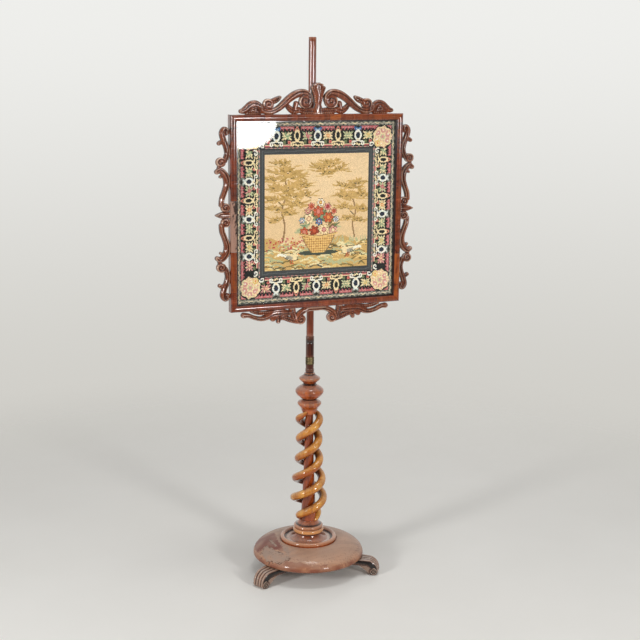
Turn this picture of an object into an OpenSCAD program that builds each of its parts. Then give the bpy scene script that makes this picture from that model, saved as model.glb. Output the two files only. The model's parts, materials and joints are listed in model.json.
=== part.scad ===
/* [Feet] */
// Height of the platform's underside above the floor
foot_h = 44; // [40:1:52]
// Turn of the three feet about the pole, from one foot straight behind
feet_turn = -4.5; // [-30:0.1:30]
// Distance from the pole's axis to the middle of a foot's scroll
foot_reach = 188; // [180:1:200]
// Radius of the scroll that a foot ends in
scroll_r = 12; // [10:0.5:14]
// Depth of the flat that a scroll stands on
scroll_flat = 0.5; // [0.3:0.1:1]
// Width of a foot
foot_w = 40; // [32:1:48]
// How much wider a foot is at the platform's rim than at its toe
foot_flare = 12; // [0:1:16]
// Number of reeds across a foot
foot_reeds = 4; // [3:1:6]
// Width and depth of the groove between two reeds
reed_groove = 1.6; // [0.8:0.1:2.4]
// Where the root of a foot begins, from the pole's axis
foot_root = 96; // [88:1:104]
// Thickness of a foot under the platform, at its screws
foot_web = 15; // [12:0.5:18]
// How far a foot's root slopes out on its underside
root_slope = 8; // [4:0.5:12]
// Height of the foot's back above the floor where it turns down, and where it leaves the platform
knuckle_h = 38; // [35:0.5:41]
back_h = 43; // [41:0.5:44]

/* [Platform] */
// Radius of the round platform
platform_r = 152.5; // [145:0.5:165]
// Height of the platform, from its underside to the column's seat
platform_h = 42; // [36:1:50]
// Round of the platform's lower rim
rim_r = 5; // [3:0.5:7]
// How far the crown of the dome stands above the column's seat
crown_rise = 2; // [1:0.5:4]
// Radius inside which the dome would be level
crown_r = 70; // [60:1:76]
// Open groove between the dome and the column's flange
seat_gap = 2; // [1:0.5:4]

/* [Column base] */
// Radius of the flange that stands on the platform
flange_r = 77.5; // [74:0.5:84]
// Height of the ring moulding round the flange
ring_h = 12; // [9:0.5:15]
// Width of the ring moulding
ring_w = 11.5; // [8:0.5:14]
// Thickness of the dished floor inside the ring
dish_t = 4; // [3:0.5:6]
// Radius at which the boss rises from the dish
boss_r = 56; // [52:0.5:60]
// Height of the boss
boss_h = 18; // [14:0.5:22]
// Radius of the neck on top of the boss
base_neck_r = 35; // [32:0.5:37]
// Height and radius of the torus above the neck
torus_h = 13; // [10:0.5:16]
torus_r = 42.3; // [40:0.1:46]
// Height and radius of the bead above the torus
bead_h = 10; // [8:0.5:13]
bead_r = 40.4; // [39:0.1:43]
// Height of the cone that the twist stands on, and its radius at the foot and at the top
cone_h = 12; // [10:0.5:15]
cone_r = 34; // [32:0.5:36]
cone_top_r = 25; // [24:0.5:28]

/* [Twist] */
// Height of the open twist between the two turned ends of the column
twist_h = 305; // [280:1:330]
// Rise of one strand in a full turn
twist_pitch = 113; // [100:1:126]
// Turn of the first strand at the foot of the twist
twist_phase = 113; // [0:1:360]
// Radius of a strand
strand_r = 11.2; // [9:0.1:12]
// Share of that radius left where a strand runs into the turned ends, and the length of its taper
strand_end_share = 0.35; // [0.3:0.05:1]
strand_taper = 30; // [20:1:100]
// Radius to a strand's middle at the slim top and at the belly of the twist
twist_slim_r = 26; // [24:0.5:30]
twist_belly_r = 40.2; // [36:0.1:46]
// How far a strand runs into the turned ends
strand_let_in = 7; // [5:0.5:9]
// Radius of the core pillar at its foot and at its head
core_foot_r = 21.5; // [19:0.5:23]
core_head_r = 10.8; // [9.5:0.1:12]
// Radius and length of the tenons at the two ends of the core pillar
core_tenon_r = 8; // [6:0.5:9]
core_tenon = 16; // [12:1:20]

/* [Column top] */
// Height of the cone above the twist, and its radius at the foot and at the top
cap_cone_h = 12; // [10:0.5:14]
cap_cone_foot_r = 18; // [17.5:0.5:20]
cap_cone_top_r = 22.8; // [21:0.1:25]
// Height below and above the widest place of the lowest ring, and its radius
ring3_low = 18.5; // [14:0.5:22]
ring3_high = 10.5; // [8:0.5:14]
ring3_r = 33; // [30:0.1:36]
// Height below and above the widest place of the middle ring, and its radius
ring2_low = 23.5; // [20:0.5:27]
ring2_high = 18.5; // [15:0.5:22]
ring2_r = 39; // [35:0.1:42]
// Height below and above the widest place of the top ring, and its radius
ring1_low = 16; // [13:0.5:19]
ring1_high = 15; // [12:0.5:18]
ring1_r = 29; // [26:0.1:32]
// Radius of the necks between the rings, and of the neck at the very top
neck_r = 17; // [16:0.1:19]
top_neck_r = 14.4; // [13.5:0.1:16]

/* [Pole] */
// Height of the pole's top above the floor
pole_top_h = 1450; // [1420:1:1480]
// Radius of the pole that the screen slides on
pole_r = 10; // [9:0.1:10.5]
// Radius of the thicker lower length of the pole
lower_r = 11.2; // [11:0.1:12.5]
// Length of that lower length above the column
lower_len = 102; // [90:1:115]
// Radius and length of the tenon that stands in the column
lower_tenon_r = 8.5; // [7.5:0.1:9.5]
lower_tenon = 46; // [36:1:54]
// Radius and length of the tenon that joins the two lengths of pole
pole_tenon_r = 6; // [5:0.1:7]
pole_tenon = 40; // [30:1:44]
// Height of the scribed line below the shoulder, and its width
scribe_drop = 17; // [12:0.5:22]
scribe_w = 1.2; // [0.8:0.1:2]
// Height of the two turned beads above the column, the height of each and how far they stand out
pole_bead_rise = 3; // [2:0.5:5]
pole_bead_h = 4.5; // [3:0.5:6]
pole_bead_out = 1; // [0.6:0.1:1.6]
// Height of the brass ferrule above the column, its length, wall and number of beads
ferrule_rise = 24; // [18:1:30]
ferrule_len = 20; // [16:1:24]
ferrule_wall = 1.2; // [0.8:0.1:1.6]
ferrule_beads = 3; // [2:1:4]
// How far the ferrule's beads stand out, and the slit where its strip meets
ferrule_bead_out = 0.6; // [0.3:0.1:1]
ferrule_slit = 0.8; // [0.5:0.1:1.2]
// Radius of the peg across the pole's joint, and its depth below the shoulder
pole_peg_r = 2; // [1.5:0.1:2.5]
pole_peg_drop = 28; // [24:1:32]

/* [Screen frame] */
// Width and height of the framed panel over its outer edges
panel_w = 480; // [460:1:500]
panel_h = 504; // [484:1:524]
// Height of the panel's middle above the floor
panel_mid_h = 1005; // [990:1:1020]
// Distance from the pole's axis to the frame's back
panel_stand_off = 29; // [28:0.5:34]
// Width of the frame's moulding
rail_w = 20; // [18:0.5:23]
// Width and height of the half-round on the moulding's front
round_w = 17; // [14.5:0.5:17.5]
round_h = 8; // [6:0.5:9]
// Width of the rebate behind the sight edge
rebate_w = 6; // [5:0.5:6.5]
// Thickness of the lip that holds the glass
lip_t = 2; // [1.5:0.5:3]
// Thickness of the glass
glass_t = 2.5; // [2:0.5:3]
// Thickness and width of the fillets between the glass and the needlework
fillet_t = 2; // [1.5:0.5:3]
fillet_w = 4.5; // [3.5:0.5:5]
// Thickness of the needlework canvas
canvas_t = 1.2; // [0.8:0.1:1.6]
// Thickness of the board that the canvas is stretched over
stretcher_t = 4.5; // [4:0.5:6]
// Thickness of the thin board that closes the back
back_t = 2.8; // [2:0.1:3.2]
// Room round the glass and the boards in the rebate
pane_clear = 0.5; // [0.3:0.1:1]
// Radius and length of the brads behind the back board, how deep they go and how many a side
brad_r = 0.8; // [0.6:0.1:1]
brad_len = 16; // [13:1:20]
brad_deep = 8; // [6:0.5:10]
brads_a_side = 3; // [2:1:5]
// Wood left between a brad and the frame's back
brad_cover = 1.4; // [1:0.1:2.5]

/* [Carvings] */
// Thickness of the four pierced carvings
carving_t = 13; // [10:0.5:16]
// Radius of the pegs that hold them, how far a peg goes into a carving and into the frame
peg_r = 2.5; // [2:0.1:2.8]
peg_up = 7; // [5:0.5:8]
peg_down = 9; // [7:0.5:11]
// Places of the crest's outer pegs and of the apron's outer pegs from the middle
crest_peg_x = 132; // [129:0.5:135]
apron_peg_x = 70; // [68:0.5:72]
// Places of the side carvings' pegs above and below the middle
side_peg_z1 = 92; // [90:0.5:94]
side_peg_z2 = 158; // [154:0.5:162]

/* [Pole fittings] */
// Wall, height and running clearance of the bush that slides on the pole
bush_wall = 3; // [2.5:0.1:4]
bush_h = 32; // [30:0.5:36]
running_clear = 0.05; // [0.02:0.01:0.08]
// Width of the slit that lets the bush close on the pole
bush_slit = 2; // [1:0.1:3]
// Height of the bush's flange and of its ring, and how far they stand out
collar_h = 3; // [2:0.1:3.5]
collar_out = 3; // [2:0.1:4]
// Gap between a turning eye and the collars above and below it
eye_gap = 0.1; // [0.05:0.05:0.3]
// Wall of the bracket's eyes, and the height of the lower eye
eye_wall = 5; // [4:0.1:6]
lower_eye_h = 20; // [16:0.5:24]
// Width, height and thickness of the plates on the frame's back
plate_w = 70; // [60:1:80]
plate_h = 13; // [10:0.5:13.5]
plate_t = 3; // [2.5:0.1:4]
// Width of the arm between a plate and its eye
arm_w = 14; // [10:0.5:16]
// Distance of the plate's screws from the middle
plate_screw_x = 26; // [20:0.5:29]
// Radius of a plate screw's shank and head, and its length in the frame
plate_screw_r = 1.8; // [1.5:0.1:2.2]
plate_head_r = 3.6; // [3:0.1:4.2]
plate_screw_len = 14; // [10:0.5:18]
// Radius and length of the boss that the thumbscrew turns in
clamp_boss_r = 7; // [6:0.1:8]
clamp_boss_len = 9; // [7:0.5:12]
// Radius of the thumbscrew's shank, collar and thumb plate
thumb_shank_r = 3; // [2.5:0.1:3.5]
thumb_collar_r = 6; // [5:0.1:7]
thumb_plate_r = 11; // [9:0.5:13]
// Thickness of the thumb plate and of the collar
thumb_plate_t = 4; // [3:0.1:5]
thumb_collar_t = 3; // [2:0.1:4]
// Gap between the thumbscrew and what it meets
thumb_gap = 0.3; // [0.2:0.05:0.5]

/* [Hidden screws] */
// Radius of a foot screw's shank and head, and its length in the platform
foot_screw_r = 2.5; // [2:0.1:3]
foot_head_r = 5; // [4.5:0.1:5.5]
foot_head_t = 3; // [2.5:0.1:3.5]
foot_screw_len = 18; // [14:0.5:22]
// How deep the head lies below the foot's underside
foot_head_sunk = 1; // [0.5:0.1:2]
// Distances of a foot's two screws from the pole's axis
foot_screw_in = 112; // [109:0.5:114]
foot_screw_out = 134; // [131:0.5:137]
// Radius of the column screw's shank, and how far it goes into the column base
column_screw_r = 6; // [5:0.1:7]
column_screw_in = 34; // [28:1:38]
// Size across the corners and height of its head
column_head_d = 26; // [22:0.5:28]
column_head_t = 8; // [6:0.5:9]
// Radius and thickness of its washer
washer_r = 16; // [15:0.5:18]
washer_t = 2; // [1.5:0.1:3]
// Depth of the recess that hides head and washer
recess_h = 14; // [12:0.5:16]
// Radius and length of the spigot that centres the column base in the platform
spigot_r = 24; // [20:0.5:28]
spigot_h = 16; // [12:0.5:20]
// Room left round a glued, pegged or screwed joint
glue_gap = 0.1; // [0.05:0.05:0.2]

/* [Hidden] */
$fn = 48;
eps = 0.01;

// Heights of the stand, from the floor up
seat_z = foot_h + platform_h;
neck_z = seat_z + dish_t + boss_h;
bead_z = neck_z + torus_h;
cone_z = bead_z + bead_h;
twist_z = cone_z + cone_h;
cap_z = twist_z + twist_h;
ring3_z = cap_z + cap_cone_h;
ring2_z = ring3_z + ring3_low + ring3_high;
ring1_z = ring2_z + ring2_low + ring2_high;
column_top_z = ring1_z + ring1_low + ring1_high;
shoulder_z = column_top_z + lower_len;

// Angles of the three feet
foot_angle_back = 90 + feet_turn;
foot_angle_left = 210 + feet_turn;
foot_angle_right = 330 + feet_turn;

// Depth of the frame from front to back, worked out from what lies in its rebate
held_t = glass_t + fillet_t + canvas_t + stretcher_t + back_t + 2 * brad_r;
panel_t = round_h + lip_t + held_t + brad_cover;

// Depths of the screen, front to back, with the front towards -Y
back_y = -panel_stand_off;
front_y = back_y - panel_t;
carving_back_y = back_y - (panel_t - carving_t) / 2;
peg_y = back_y - panel_t / 2;
sight_y = front_y + round_h;
glass_y = sight_y + lip_t;
canvas_y = glass_y + glass_t + fillet_t;
stretcher_y = canvas_y + canvas_t;
board_y = stretcher_y + stretcher_t;
brad_y = board_y + back_t + brad_r;
land_w = rail_w - rebate_w;
pane_w = panel_w - 2 * land_w - 2 * pane_clear;
pane_h = panel_h - 2 * land_w - 2 * pane_clear;
panel_top_z = panel_mid_h + panel_h / 2;
panel_foot_z = panel_mid_h - panel_h / 2;

// Fittings on the pole
upper_eye_z = panel_top_z - land_w / 2;
lower_eye_z = panel_foot_z + land_w / 2;
bush_r = pole_r + running_clear + bush_wall;
upper_eye_r = bush_r + running_clear;
// The lower eye fits the length of pole that it slides on.
lower_eye_r = (lower_eye_z - lower_eye_h / 2 > shoulder_z ? pole_r : lower_r) + running_clear;
upper_eye_h = bush_h - 2 * collar_h - 2 * eye_gap;
bush_z = upper_eye_z - bush_h / 2;
boss_end_y = upper_eye_r + eye_wall + clamp_boss_len;

// A curve through rows of numbers, each row a place and what goes with it
function between(a, b, c, d, t) = b + ((c - a) * t + (2 * a - 5 * b + 4 * c - d) * t * t
    + (3 * b - a - 3 * c + d) * t * t * t) / 2;
function smooth(rows, steps) = let (n = len(rows) - 1) [
    for (i = [0 : n - 1])
        for (s = [0 : steps - 1])
            between(rows[max(i - 1, 0)], rows[i], rows[i + 1], rows[min(i + 2, n)], s / steps),
    rows[n]
];

// Profile points of a turned bulb: a quarter round out to its widest place and one back in
function bulb(z, low, high, r_low, r_max, r_high, n = 7) = [
    for (i = [0 : n]) [r_low + (r_max - r_low) * sin(90 * i / n), z + low * (1 - cos(90 * i / n))],
    for (i = [1 : n]) [r_high + (r_max - r_high) * cos(90 * i / n), z + low + high * sin(90 * i / n)]
];

// Profile points of a turned ring: out from a neck to a rounded nose and back in. The lower the powers
// under and over, the fuller the flank below and above the nose.
function ogee(z, low, high, r_low, r_max, r_high, under, over, n = 8) = [
    for (i = [0 : n]) [r_low + (r_max - r_low) * pow(sin(90 * i / n), under), z + low * i / n],
    for (i = [1 : n]) [r_high + (r_max - r_high) * pow(cos(90 * i / n), over), z + low + high * i / n]
];

// Points of an arc about a middle, from one angle to another
function arc(x, y, rx, ry, a0, a1, n) = [
    for (i = [0 : n]) let (a = a0 + (a1 - a0) * i / n) [x + rx * cos(a), y + ry * sin(a)]
];

// Side outline of a foot: flat root under the platform, back rolled over into a scroll
scroll_z = scroll_r - scroll_flat;
flat_angle = acos((scroll_z) / scroll_r);
web_z = foot_h - foot_web;
function foot_outline(inset) = let (
    r = scroll_r - inset,
    screw_edge = foot_screw_out + 1.5 * foot_head_r,
    under_rim = platform_r - 2 * rim_r
) concat(
    [[foot_root, foot_h], [foot_root + root_slope, web_z]],
    smooth([[screw_edge, web_z], [foot_reach - 2.3 * scroll_r, (web_z + scroll_z) / 2],
        [foot_reach - 1.4 * scroll_r, scroll_z - scroll_r / 6],
        [foot_reach + scroll_r * cos(215), scroll_z + scroll_r * sin(215)]], 4),
    arc(foot_reach, scroll_z, scroll_r, scroll_r, 222, 270 - flat_angle, 3),
    arc(foot_reach, scroll_z, r, scroll_r, 270 + flat_angle, 360, 6),
    smooth([[foot_reach + r, scroll_z + scroll_r / 12],
        [foot_reach + 0.75 * scroll_r - inset, (scroll_z + knuckle_h) / 2 + scroll_r / 8],
        [foot_reach - scroll_r / 12 - inset, knuckle_h - inset],
        [foot_reach - 1.2 * scroll_r, back_h - inset],
        [under_rim, foot_h - inset]], 4),
    [[under_rim - scroll_r / 6, foot_h]]
);

// Half the width of a foot at a distance from the pole's axis
function foot_half(x) = foot_w / 2
    + foot_flare / 2 * (foot_reach - x) / (foot_reach - platform_r + 2 * rim_r);

// A strip of a foot, seen from above between two shares of its half width and drawn in at its edges
module foot_strip(inset, from, to, trim) {
    toe = foot_reach + 2 * scroll_r;
    intersection() {
        rotate([90, 0, 0]) linear_extrude(3 * foot_w, center = true) polygon(foot_outline(inset));
        translate([0, 0, -1])
            linear_extrude(foot_h + 2)
                polygon([
                    for (x = [0, toe]) [x, from * foot_half(x) + trim],
                    for (x = [toe, 0]) [x, to * foot_half(x) - trim]
                ]);
    }
}

module foot(angle) {
    reed = 2 / foot_reeds;
    rotate([0, 0, angle])
        difference() {
            union() {
                foot_strip(reed_groove, -1, 1, reed_groove / 2);
                for (i = [0 : foot_reeds - 1])
                    foot_strip(i == 0 || i == foot_reeds - 1 ? reed_groove / 2 : 0,
                        i * reed - 1, (i + 1) * reed - 1, reed_groove / 2);
            }
            for (r = [foot_screw_in, foot_screw_out])
                translate([r, 0, 0]) foot_screw_hole();
        }
}

module foot_screw_hole() {
    translate([0, 0, foot_h - 1.5 * foot_web]) cylinder(r = foot_screw_r + glue_gap, h = 2 * foot_web);
    translate([0, 0, foot_h - 2 * foot_web])
        cylinder(r = foot_head_r + glue_gap, h = foot_web + foot_head_t + foot_head_sunk);
}

module foot_screw() {
    seat = foot_h - foot_web + foot_head_t + foot_head_sunk;
    translate([0, 0, seat - foot_head_t]) cylinder(r = foot_head_r, h = foot_head_t);
    translate([0, 0, seat - eps]) cylinder(r = foot_screw_r, h = foot_h - seat + foot_screw_len);
}

module at_foot_screws() {
    for (a = [foot_angle_back, foot_angle_left, foot_angle_right])
        for (r = [foot_screw_in, foot_screw_out])
            rotate([0, 0, a]) translate([r, 0, 0]) children();
}

module foot_left() { color("saddlebrown") foot(foot_angle_left); }
module foot_right() { color("saddlebrown") foot(foot_angle_right); }
module foot_back() { color("saddlebrown") foot(foot_angle_back); }
module foot_screws() { color("dimgray") at_foot_screws() foot_screw(); }

// Round domed platform, bored for the spigot and recessed below for the column screw
module base_platform() {
    dome_h = platform_h - rim_r + crown_rise;
    seat_r = flange_r + seat_gap;
    seat_angle = acos((seat_r - crown_r) / (platform_r - crown_r));
    color("rosybrown")
        difference() {
            rotate_extrude($fn = 96)
                polygon(concat(
                    [[0, foot_h]],
                    arc(platform_r - rim_r, foot_h + rim_r, rim_r, rim_r, -90, 0, 5),
                    arc(crown_r, foot_h + rim_r, platform_r - crown_r, dome_h, 4, seat_angle, 14),
                    [[seat_r, seat_z], [0, seat_z]]
                ));
            translate([0, 0, seat_z - spigot_h]) cylinder(r = spigot_r + glue_gap, h = spigot_h + 1);
            translate([0, 0, foot_h - 1]) cylinder(r = washer_r + 1, h = recess_h + 1);
            cylinder(r = column_screw_r + glue_gap, h = seat_z);
            at_foot_screws()
                translate([0, 0, foot_h - 1]) cylinder(r = foot_screw_r + glue_gap, h = foot_screw_len + 2);
        }
}

module column_washer() {
    color("gray")
        translate([0, 0, foot_h + recess_h - washer_t])
            difference() {
                cylinder(r = washer_r, h = washer_t);
                translate([0, 0, -1]) cylinder(r = column_screw_r + glue_gap, h = washer_t + 2);
            }
}

module column_screw() {
    head_z = foot_h + recess_h - washer_t - column_head_t;
    color("dimgray") {
        translate([0, 0, head_z]) cylinder(d = column_head_d, h = column_head_t, $fn = 6);
        translate([0, 0, head_z + eps])
            cylinder(r = column_screw_r, h = seat_z + column_screw_in - head_z);
    }
}

// Turned foot of the column: ring moulding, dish, boss, torus, bead and cone
module column_base() {
    ring_mid = flange_r - ring_w / 2;
    color("sienna")
        difference() {
            union() {
                rotate_extrude($fn = 96)
                    polygon(concat(
                        [[0, seat_z], [flange_r, seat_z]],
                        arc(ring_mid, seat_z + ring_h / 2, ring_w / 2, ring_h / 2, 0, 180, 10),
                        [[flange_r - ring_w, seat_z + dish_t]],
                        arc(boss_r, seat_z + dish_t + boss_h, boss_r - base_neck_r, boss_h, 270, 180, 8),
                        bulb(neck_z, torus_h / 2, torus_h / 2, base_neck_r, torus_r, bead_r - 3),
                        bulb(bead_z, bead_h / 2, bead_h / 2, bead_r - 3, bead_r, cone_r),
                        [[cone_top_r, twist_z], [0, twist_z]]
                    ));
                translate([0, 0, seat_z - spigot_h + glue_gap]) cylinder(r = spigot_r, h = spigot_h);
            }
            translate([0, 0, seat_z - spigot_h - 1])
                cylinder(r = column_screw_r + glue_gap, h = spigot_h + column_screw_in + 2);
            translate([0, 0, twist_z - core_tenon - glue_gap])
                cylinder(r = core_tenon_r + glue_gap, h = core_tenon + 1);
        }
}

// Radius of the core pillar at a share of its height
function core_r(share) = core_head_r + (core_foot_r - core_head_r) * pow(1 - share, 1.6);

module core_pillar() {
    core_steps = 12;
    color("firebrick") {
        rotate_extrude()
            polygon(concat(
                [[0, twist_z]],
                [for (i = [0 : core_steps]) [core_r(i / core_steps), twist_z + twist_h * i / core_steps]],
                [[0, cap_z]]
            ));
        translate([0, 0, twist_z - core_tenon]) cylinder(r = core_tenon_r, h = core_tenon + eps);
        translate([0, 0, cap_z - eps]) cylinder(r = core_tenon_r, h = core_tenon + eps);
    }
}

// Belly of the twist: rows of a share of the twist's height and a share of the way from slim to belly
belly_rows = [[-0.03, -0.6], [0.02, -0.25], [0.075, 0.42], [0.15, 0.84], [0.235, 1], [0.32, 0.87],
    [0.42, 0.62], [0.52, 0.33], [0.62, 0.12], [0.8, 0], [0.9, 0.06], [0.96, 0.1], [1, -0.2], [1.03, -0.6]];
strand_rings = 78;
strand_sides = 10;
strand_line = [
    for (row = smooth(belly_rows, 6)) [row[0], twist_slim_r + (twist_belly_r - twist_slim_r) * row[1]]
];
strand_low = twist_z - strand_let_in;
strand_span = twist_h + 2 * strand_let_in;
function strand_share(i) = (strand_low + strand_span * i / strand_rings - twist_z) / twist_h;
function strand_mid_r(i) = lookup(strand_share(i), strand_line);
function strand_thick(i) = let (d = min(i, strand_rings - i) / strand_rings * strand_span)
    strand_r * (strand_end_share + (1 - strand_end_share) * sin(90 * min(1, d / strand_taper)));
function strand_angle(i, turn) = turn + 360 * strand_span * i / strand_rings / twist_pitch;
function strand_mid(i, turn) = let (a = strand_angle(i, turn), r = strand_mid_r(i))
    [r * cos(a), r * sin(a), strand_low + strand_span * i / strand_rings];
function unit(v) = v / norm(v);
function strand_dir(i, turn) =
    unit(strand_mid(min(i + 1, strand_rings), turn) - strand_mid(max(i - 1, 0), turn));
function strand_ring(i, turn) = let (
    m = strand_mid(i, turn),
    dir = strand_dir(i, turn),
    side = unit(cross([0, 0, 1], dir)),
    up = cross(dir, side)
) [
    for (s = [0 : strand_sides - 1])
        let (a = 360 * s / strand_sides) m + strand_thick(i) * (side * cos(a) + up * sin(a))
];

module strand(turn) {
    points = [for (i = [0 : strand_rings]) each strand_ring(i, turn)];
    last = strand_rings * strand_sides;
    polyhedron(points, concat(
        [for (s = [1 : strand_sides - 2]) [0, s, s + 1]],
        [for (i = [0 : strand_rings - 1]) for (s = [0 : strand_sides - 1])
            let (a = i * strand_sides + s, b = i * strand_sides + (s + 1) % strand_sides)
                each [[a, a + strand_sides, b], [b, a + strand_sides, b + strand_sides]]],
        [for (s = [1 : strand_sides - 2]) [last, last + s + 1, last + s]]
    ));
}

module twist_strand_1() { color("peru") strand(twist_phase); }
module twist_strand_2() { color("peru") strand(twist_phase + 180); }

// Turned head of the column: cone, three rings and the neck that the pole stands in
module column_top() {
    color("sienna")
        difference() {
            rotate_extrude($fn = 96)
                polygon(concat(
                    [[0, cap_z], [cap_cone_foot_r, cap_z]],
                    ogee(ring3_z, ring3_low, ring3_high, cap_cone_top_r, ring3_r, neck_r, 1.7, 0.9),
                    ogee(ring2_z, ring2_low, ring2_high, neck_r, ring2_r, neck_r, 0.75, 0.95),
                    ogee(ring1_z, ring1_low, ring1_high, neck_r, ring1_r, top_neck_r, 2.0, 2.8),
                    [[0, column_top_z]]
                ));
            translate([0, 0, cap_z - 1]) cylinder(r = core_tenon_r + glue_gap, h = core_tenon + 1 + glue_gap);
            translate([0, 0, column_top_z - lower_tenon - glue_gap])
                cylinder(r = lower_tenon_r + glue_gap, h = lower_tenon + 1);
        }
}

// Thicker lower length of the pole, with turned beads, the ferrule's seat and a scribed line
module pole_lower() {
    bead1_z = column_top_z + pole_bead_rise;
    bead2_z = bead1_z + pole_bead_h;
    seat_low = column_top_z + ferrule_rise;
    seat_r = lower_r - ferrule_wall;
    scribe_z = shoulder_z - scribe_drop;
    half = pole_bead_h / 2;
    color("saddlebrown")
        difference() {
            union() {
                rotate_extrude()
                    polygon(concat(
                        [[0, column_top_z], [lower_r, column_top_z]],
                        bulb(bead1_z, half, half, lower_r, lower_r + pole_bead_out, lower_r, 4),
                        bulb(bead2_z, half, half, lower_r, lower_r + pole_bead_out, lower_r, 4),
                        [[lower_r, seat_low], [seat_r, seat_low], [seat_r, seat_low + ferrule_len]],
                        [[lower_r, seat_low + ferrule_len], [lower_r, scribe_z - scribe_w / 2]],
                        [[lower_r - scribe_w / 2, scribe_z], [lower_r, scribe_z + scribe_w / 2]],
                        [[lower_r, shoulder_z - 1], [lower_r - 1, shoulder_z], [0, shoulder_z]]
                    ));
                translate([0, 0, column_top_z - lower_tenon])
                    cylinder(r = lower_tenon_r, h = lower_tenon + eps);
            }
            translate([0, 0, shoulder_z - pole_tenon - glue_gap])
                cylinder(r = pole_tenon_r + glue_gap, h = pole_tenon + 1);
            translate([-2 * lower_r, 0, shoulder_z - pole_peg_drop])
                rotate([0, 90, 0]) cylinder(r = pole_peg_r + glue_gap, h = 4 * lower_r);
        }
}

// Brass strip with raised beads, closed round its seat on the pole
module pole_ferrule() {
    one = ferrule_len / ferrule_beads;
    seat_low = column_top_z + ferrule_rise;
    inner = lower_r - ferrule_wall + glue_gap;
    color("darkkhaki")
        difference() {
            rotate_extrude()
                polygon(concat(
                    [[inner, seat_low + glue_gap]],
                    [for (i = [0 : ferrule_beads - 1])
                        each bulb(seat_low + glue_gap + i * (one - glue_gap), (one - glue_gap) / 2,
                            (one - glue_gap) / 2, lower_r - 0.2, lower_r + ferrule_bead_out,
                            lower_r - 0.2, 4)],
                    [[inner, seat_low + glue_gap + ferrule_beads * (one - glue_gap)]]
                ));
            translate([-ferrule_slit / 2, 0, seat_low - 1])
                cube([ferrule_slit, 2 * lower_r, ferrule_len + 2]);
        }
}

module pole_peg() {
    color("peru")
        translate([-lower_r + 0.5, 0, shoulder_z - pole_peg_drop])
            rotate([0, 90, 0]) cylinder(r = pole_peg_r, h = 2 * lower_r - 1);
}

module pole_upper() {
    color("saddlebrown")
        difference() {
            union() {
                translate([0, 0, shoulder_z]) cylinder(r = pole_r, h = pole_top_h - shoulder_z);
                translate([0, 0, shoulder_z - pole_tenon])
                    cylinder(r = pole_tenon_r, h = pole_tenon + eps);
            }
            translate([-2 * lower_r, 0, shoulder_z - pole_peg_drop])
                rotate([0, 90, 0]) cylinder(r = pole_peg_r + glue_gap, h = 4 * lower_r);
        }
}

// Slit brass bush on the pole, with a flange below the bracket's eye and a ring above it
module slide_bush() {
    color("goldenrod")
        translate([0, 0, bush_z])
            difference() {
                union() {
                    cylinder(r = bush_r, h = bush_h);
                    cylinder(r = bush_r + collar_out, h = collar_h);
                }
                translate([0, 0, -1]) cylinder(r = pole_r + running_clear, h = bush_h + 2);
                translate([-bush_slit / 2, -2 * bush_r, -1]) cube([bush_slit, 2 * bush_r, bush_h + 2]);
            }
}

module bush_ring() {
    color("goldenrod")
        translate([0, 0, bush_z + bush_h - collar_h])
            difference() {
                cylinder(r = bush_r + collar_out, h = collar_h);
                translate([0, 0, -1]) cylinder(r = bush_r + glue_gap / 2, h = collar_h + 2);
            }
}

// Cast bracket: a plate on the frame's back, an arm and an eye round the pole
module bracket(z, eye_r, eye_h) {
    difference() {
        union() {
            translate([-plate_w / 2, back_y, z - plate_h / 2]) cube([plate_w, plate_t, plate_h]);
            translate([-arm_w / 2, back_y + eps, z - plate_h / 2]) cube([arm_w, -back_y - eye_r, plate_h]);
            translate([0, 0, z - eye_h / 2]) cylinder(r = eye_r + eye_wall, h = eye_h);
        }
        translate([0, 0, z - eye_h]) cylinder(r = eye_r, h = 2 * eye_h);
        for (x = [-plate_screw_x, plate_screw_x])
            translate([x, back_y, z]) plate_screw_hole(1);
    }
}

// Countersunk hole through a plate and on into the wood behind it
module plate_screw_hole(past) {
    sink = plate_head_r + 3 * glue_gap;
    rotate([-90, 0, 0]) {
        translate([0, 0, plate_t - sink + glue_gap]) cylinder(r1 = 0, r2 = sink, h = sink);
        translate([0, 0, -past]) cylinder(r = plate_screw_r + glue_gap, h = plate_t + past);
    }
}

module plate_screw() {
    sunk = plate_head_r - plate_screw_r;
    rotate([-90, 0, 0]) {
        translate([0, 0, -plate_screw_len]) cylinder(r = plate_screw_r, h = plate_screw_len + plate_t - sunk);
        translate([0, 0, plate_t - sunk - glue_gap])
            cylinder(r1 = plate_screw_r, r2 = plate_head_r, h = sunk);
    }
}

module at_plate_screws(z) {
    for (x = [-plate_screw_x, plate_screw_x])
        translate([x, back_y, z]) children();
}

module upper_bracket() {
    color("goldenrod")
        difference() {
            union() {
                bracket(upper_eye_z, upper_eye_r, upper_eye_h);
                translate([0, upper_eye_r + 1, upper_eye_z])
                    rotate([-90, 0, 0]) cylinder(r = clamp_boss_r, h = boss_end_y - upper_eye_r - 1);
            }
            translate([0, 0, upper_eye_z])
                rotate([-90, 0, 0]) cylinder(r = thumb_shank_r + running_clear, h = boss_end_y + 1);
        }
}

module lower_bracket() { color("goldenrod") bracket(lower_eye_z, lower_eye_r, lower_eye_h); }

module bracket_screws() {
    color("khaki")
        for (z = [upper_eye_z, lower_eye_z])
            at_plate_screws(z) plate_screw();
}

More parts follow.
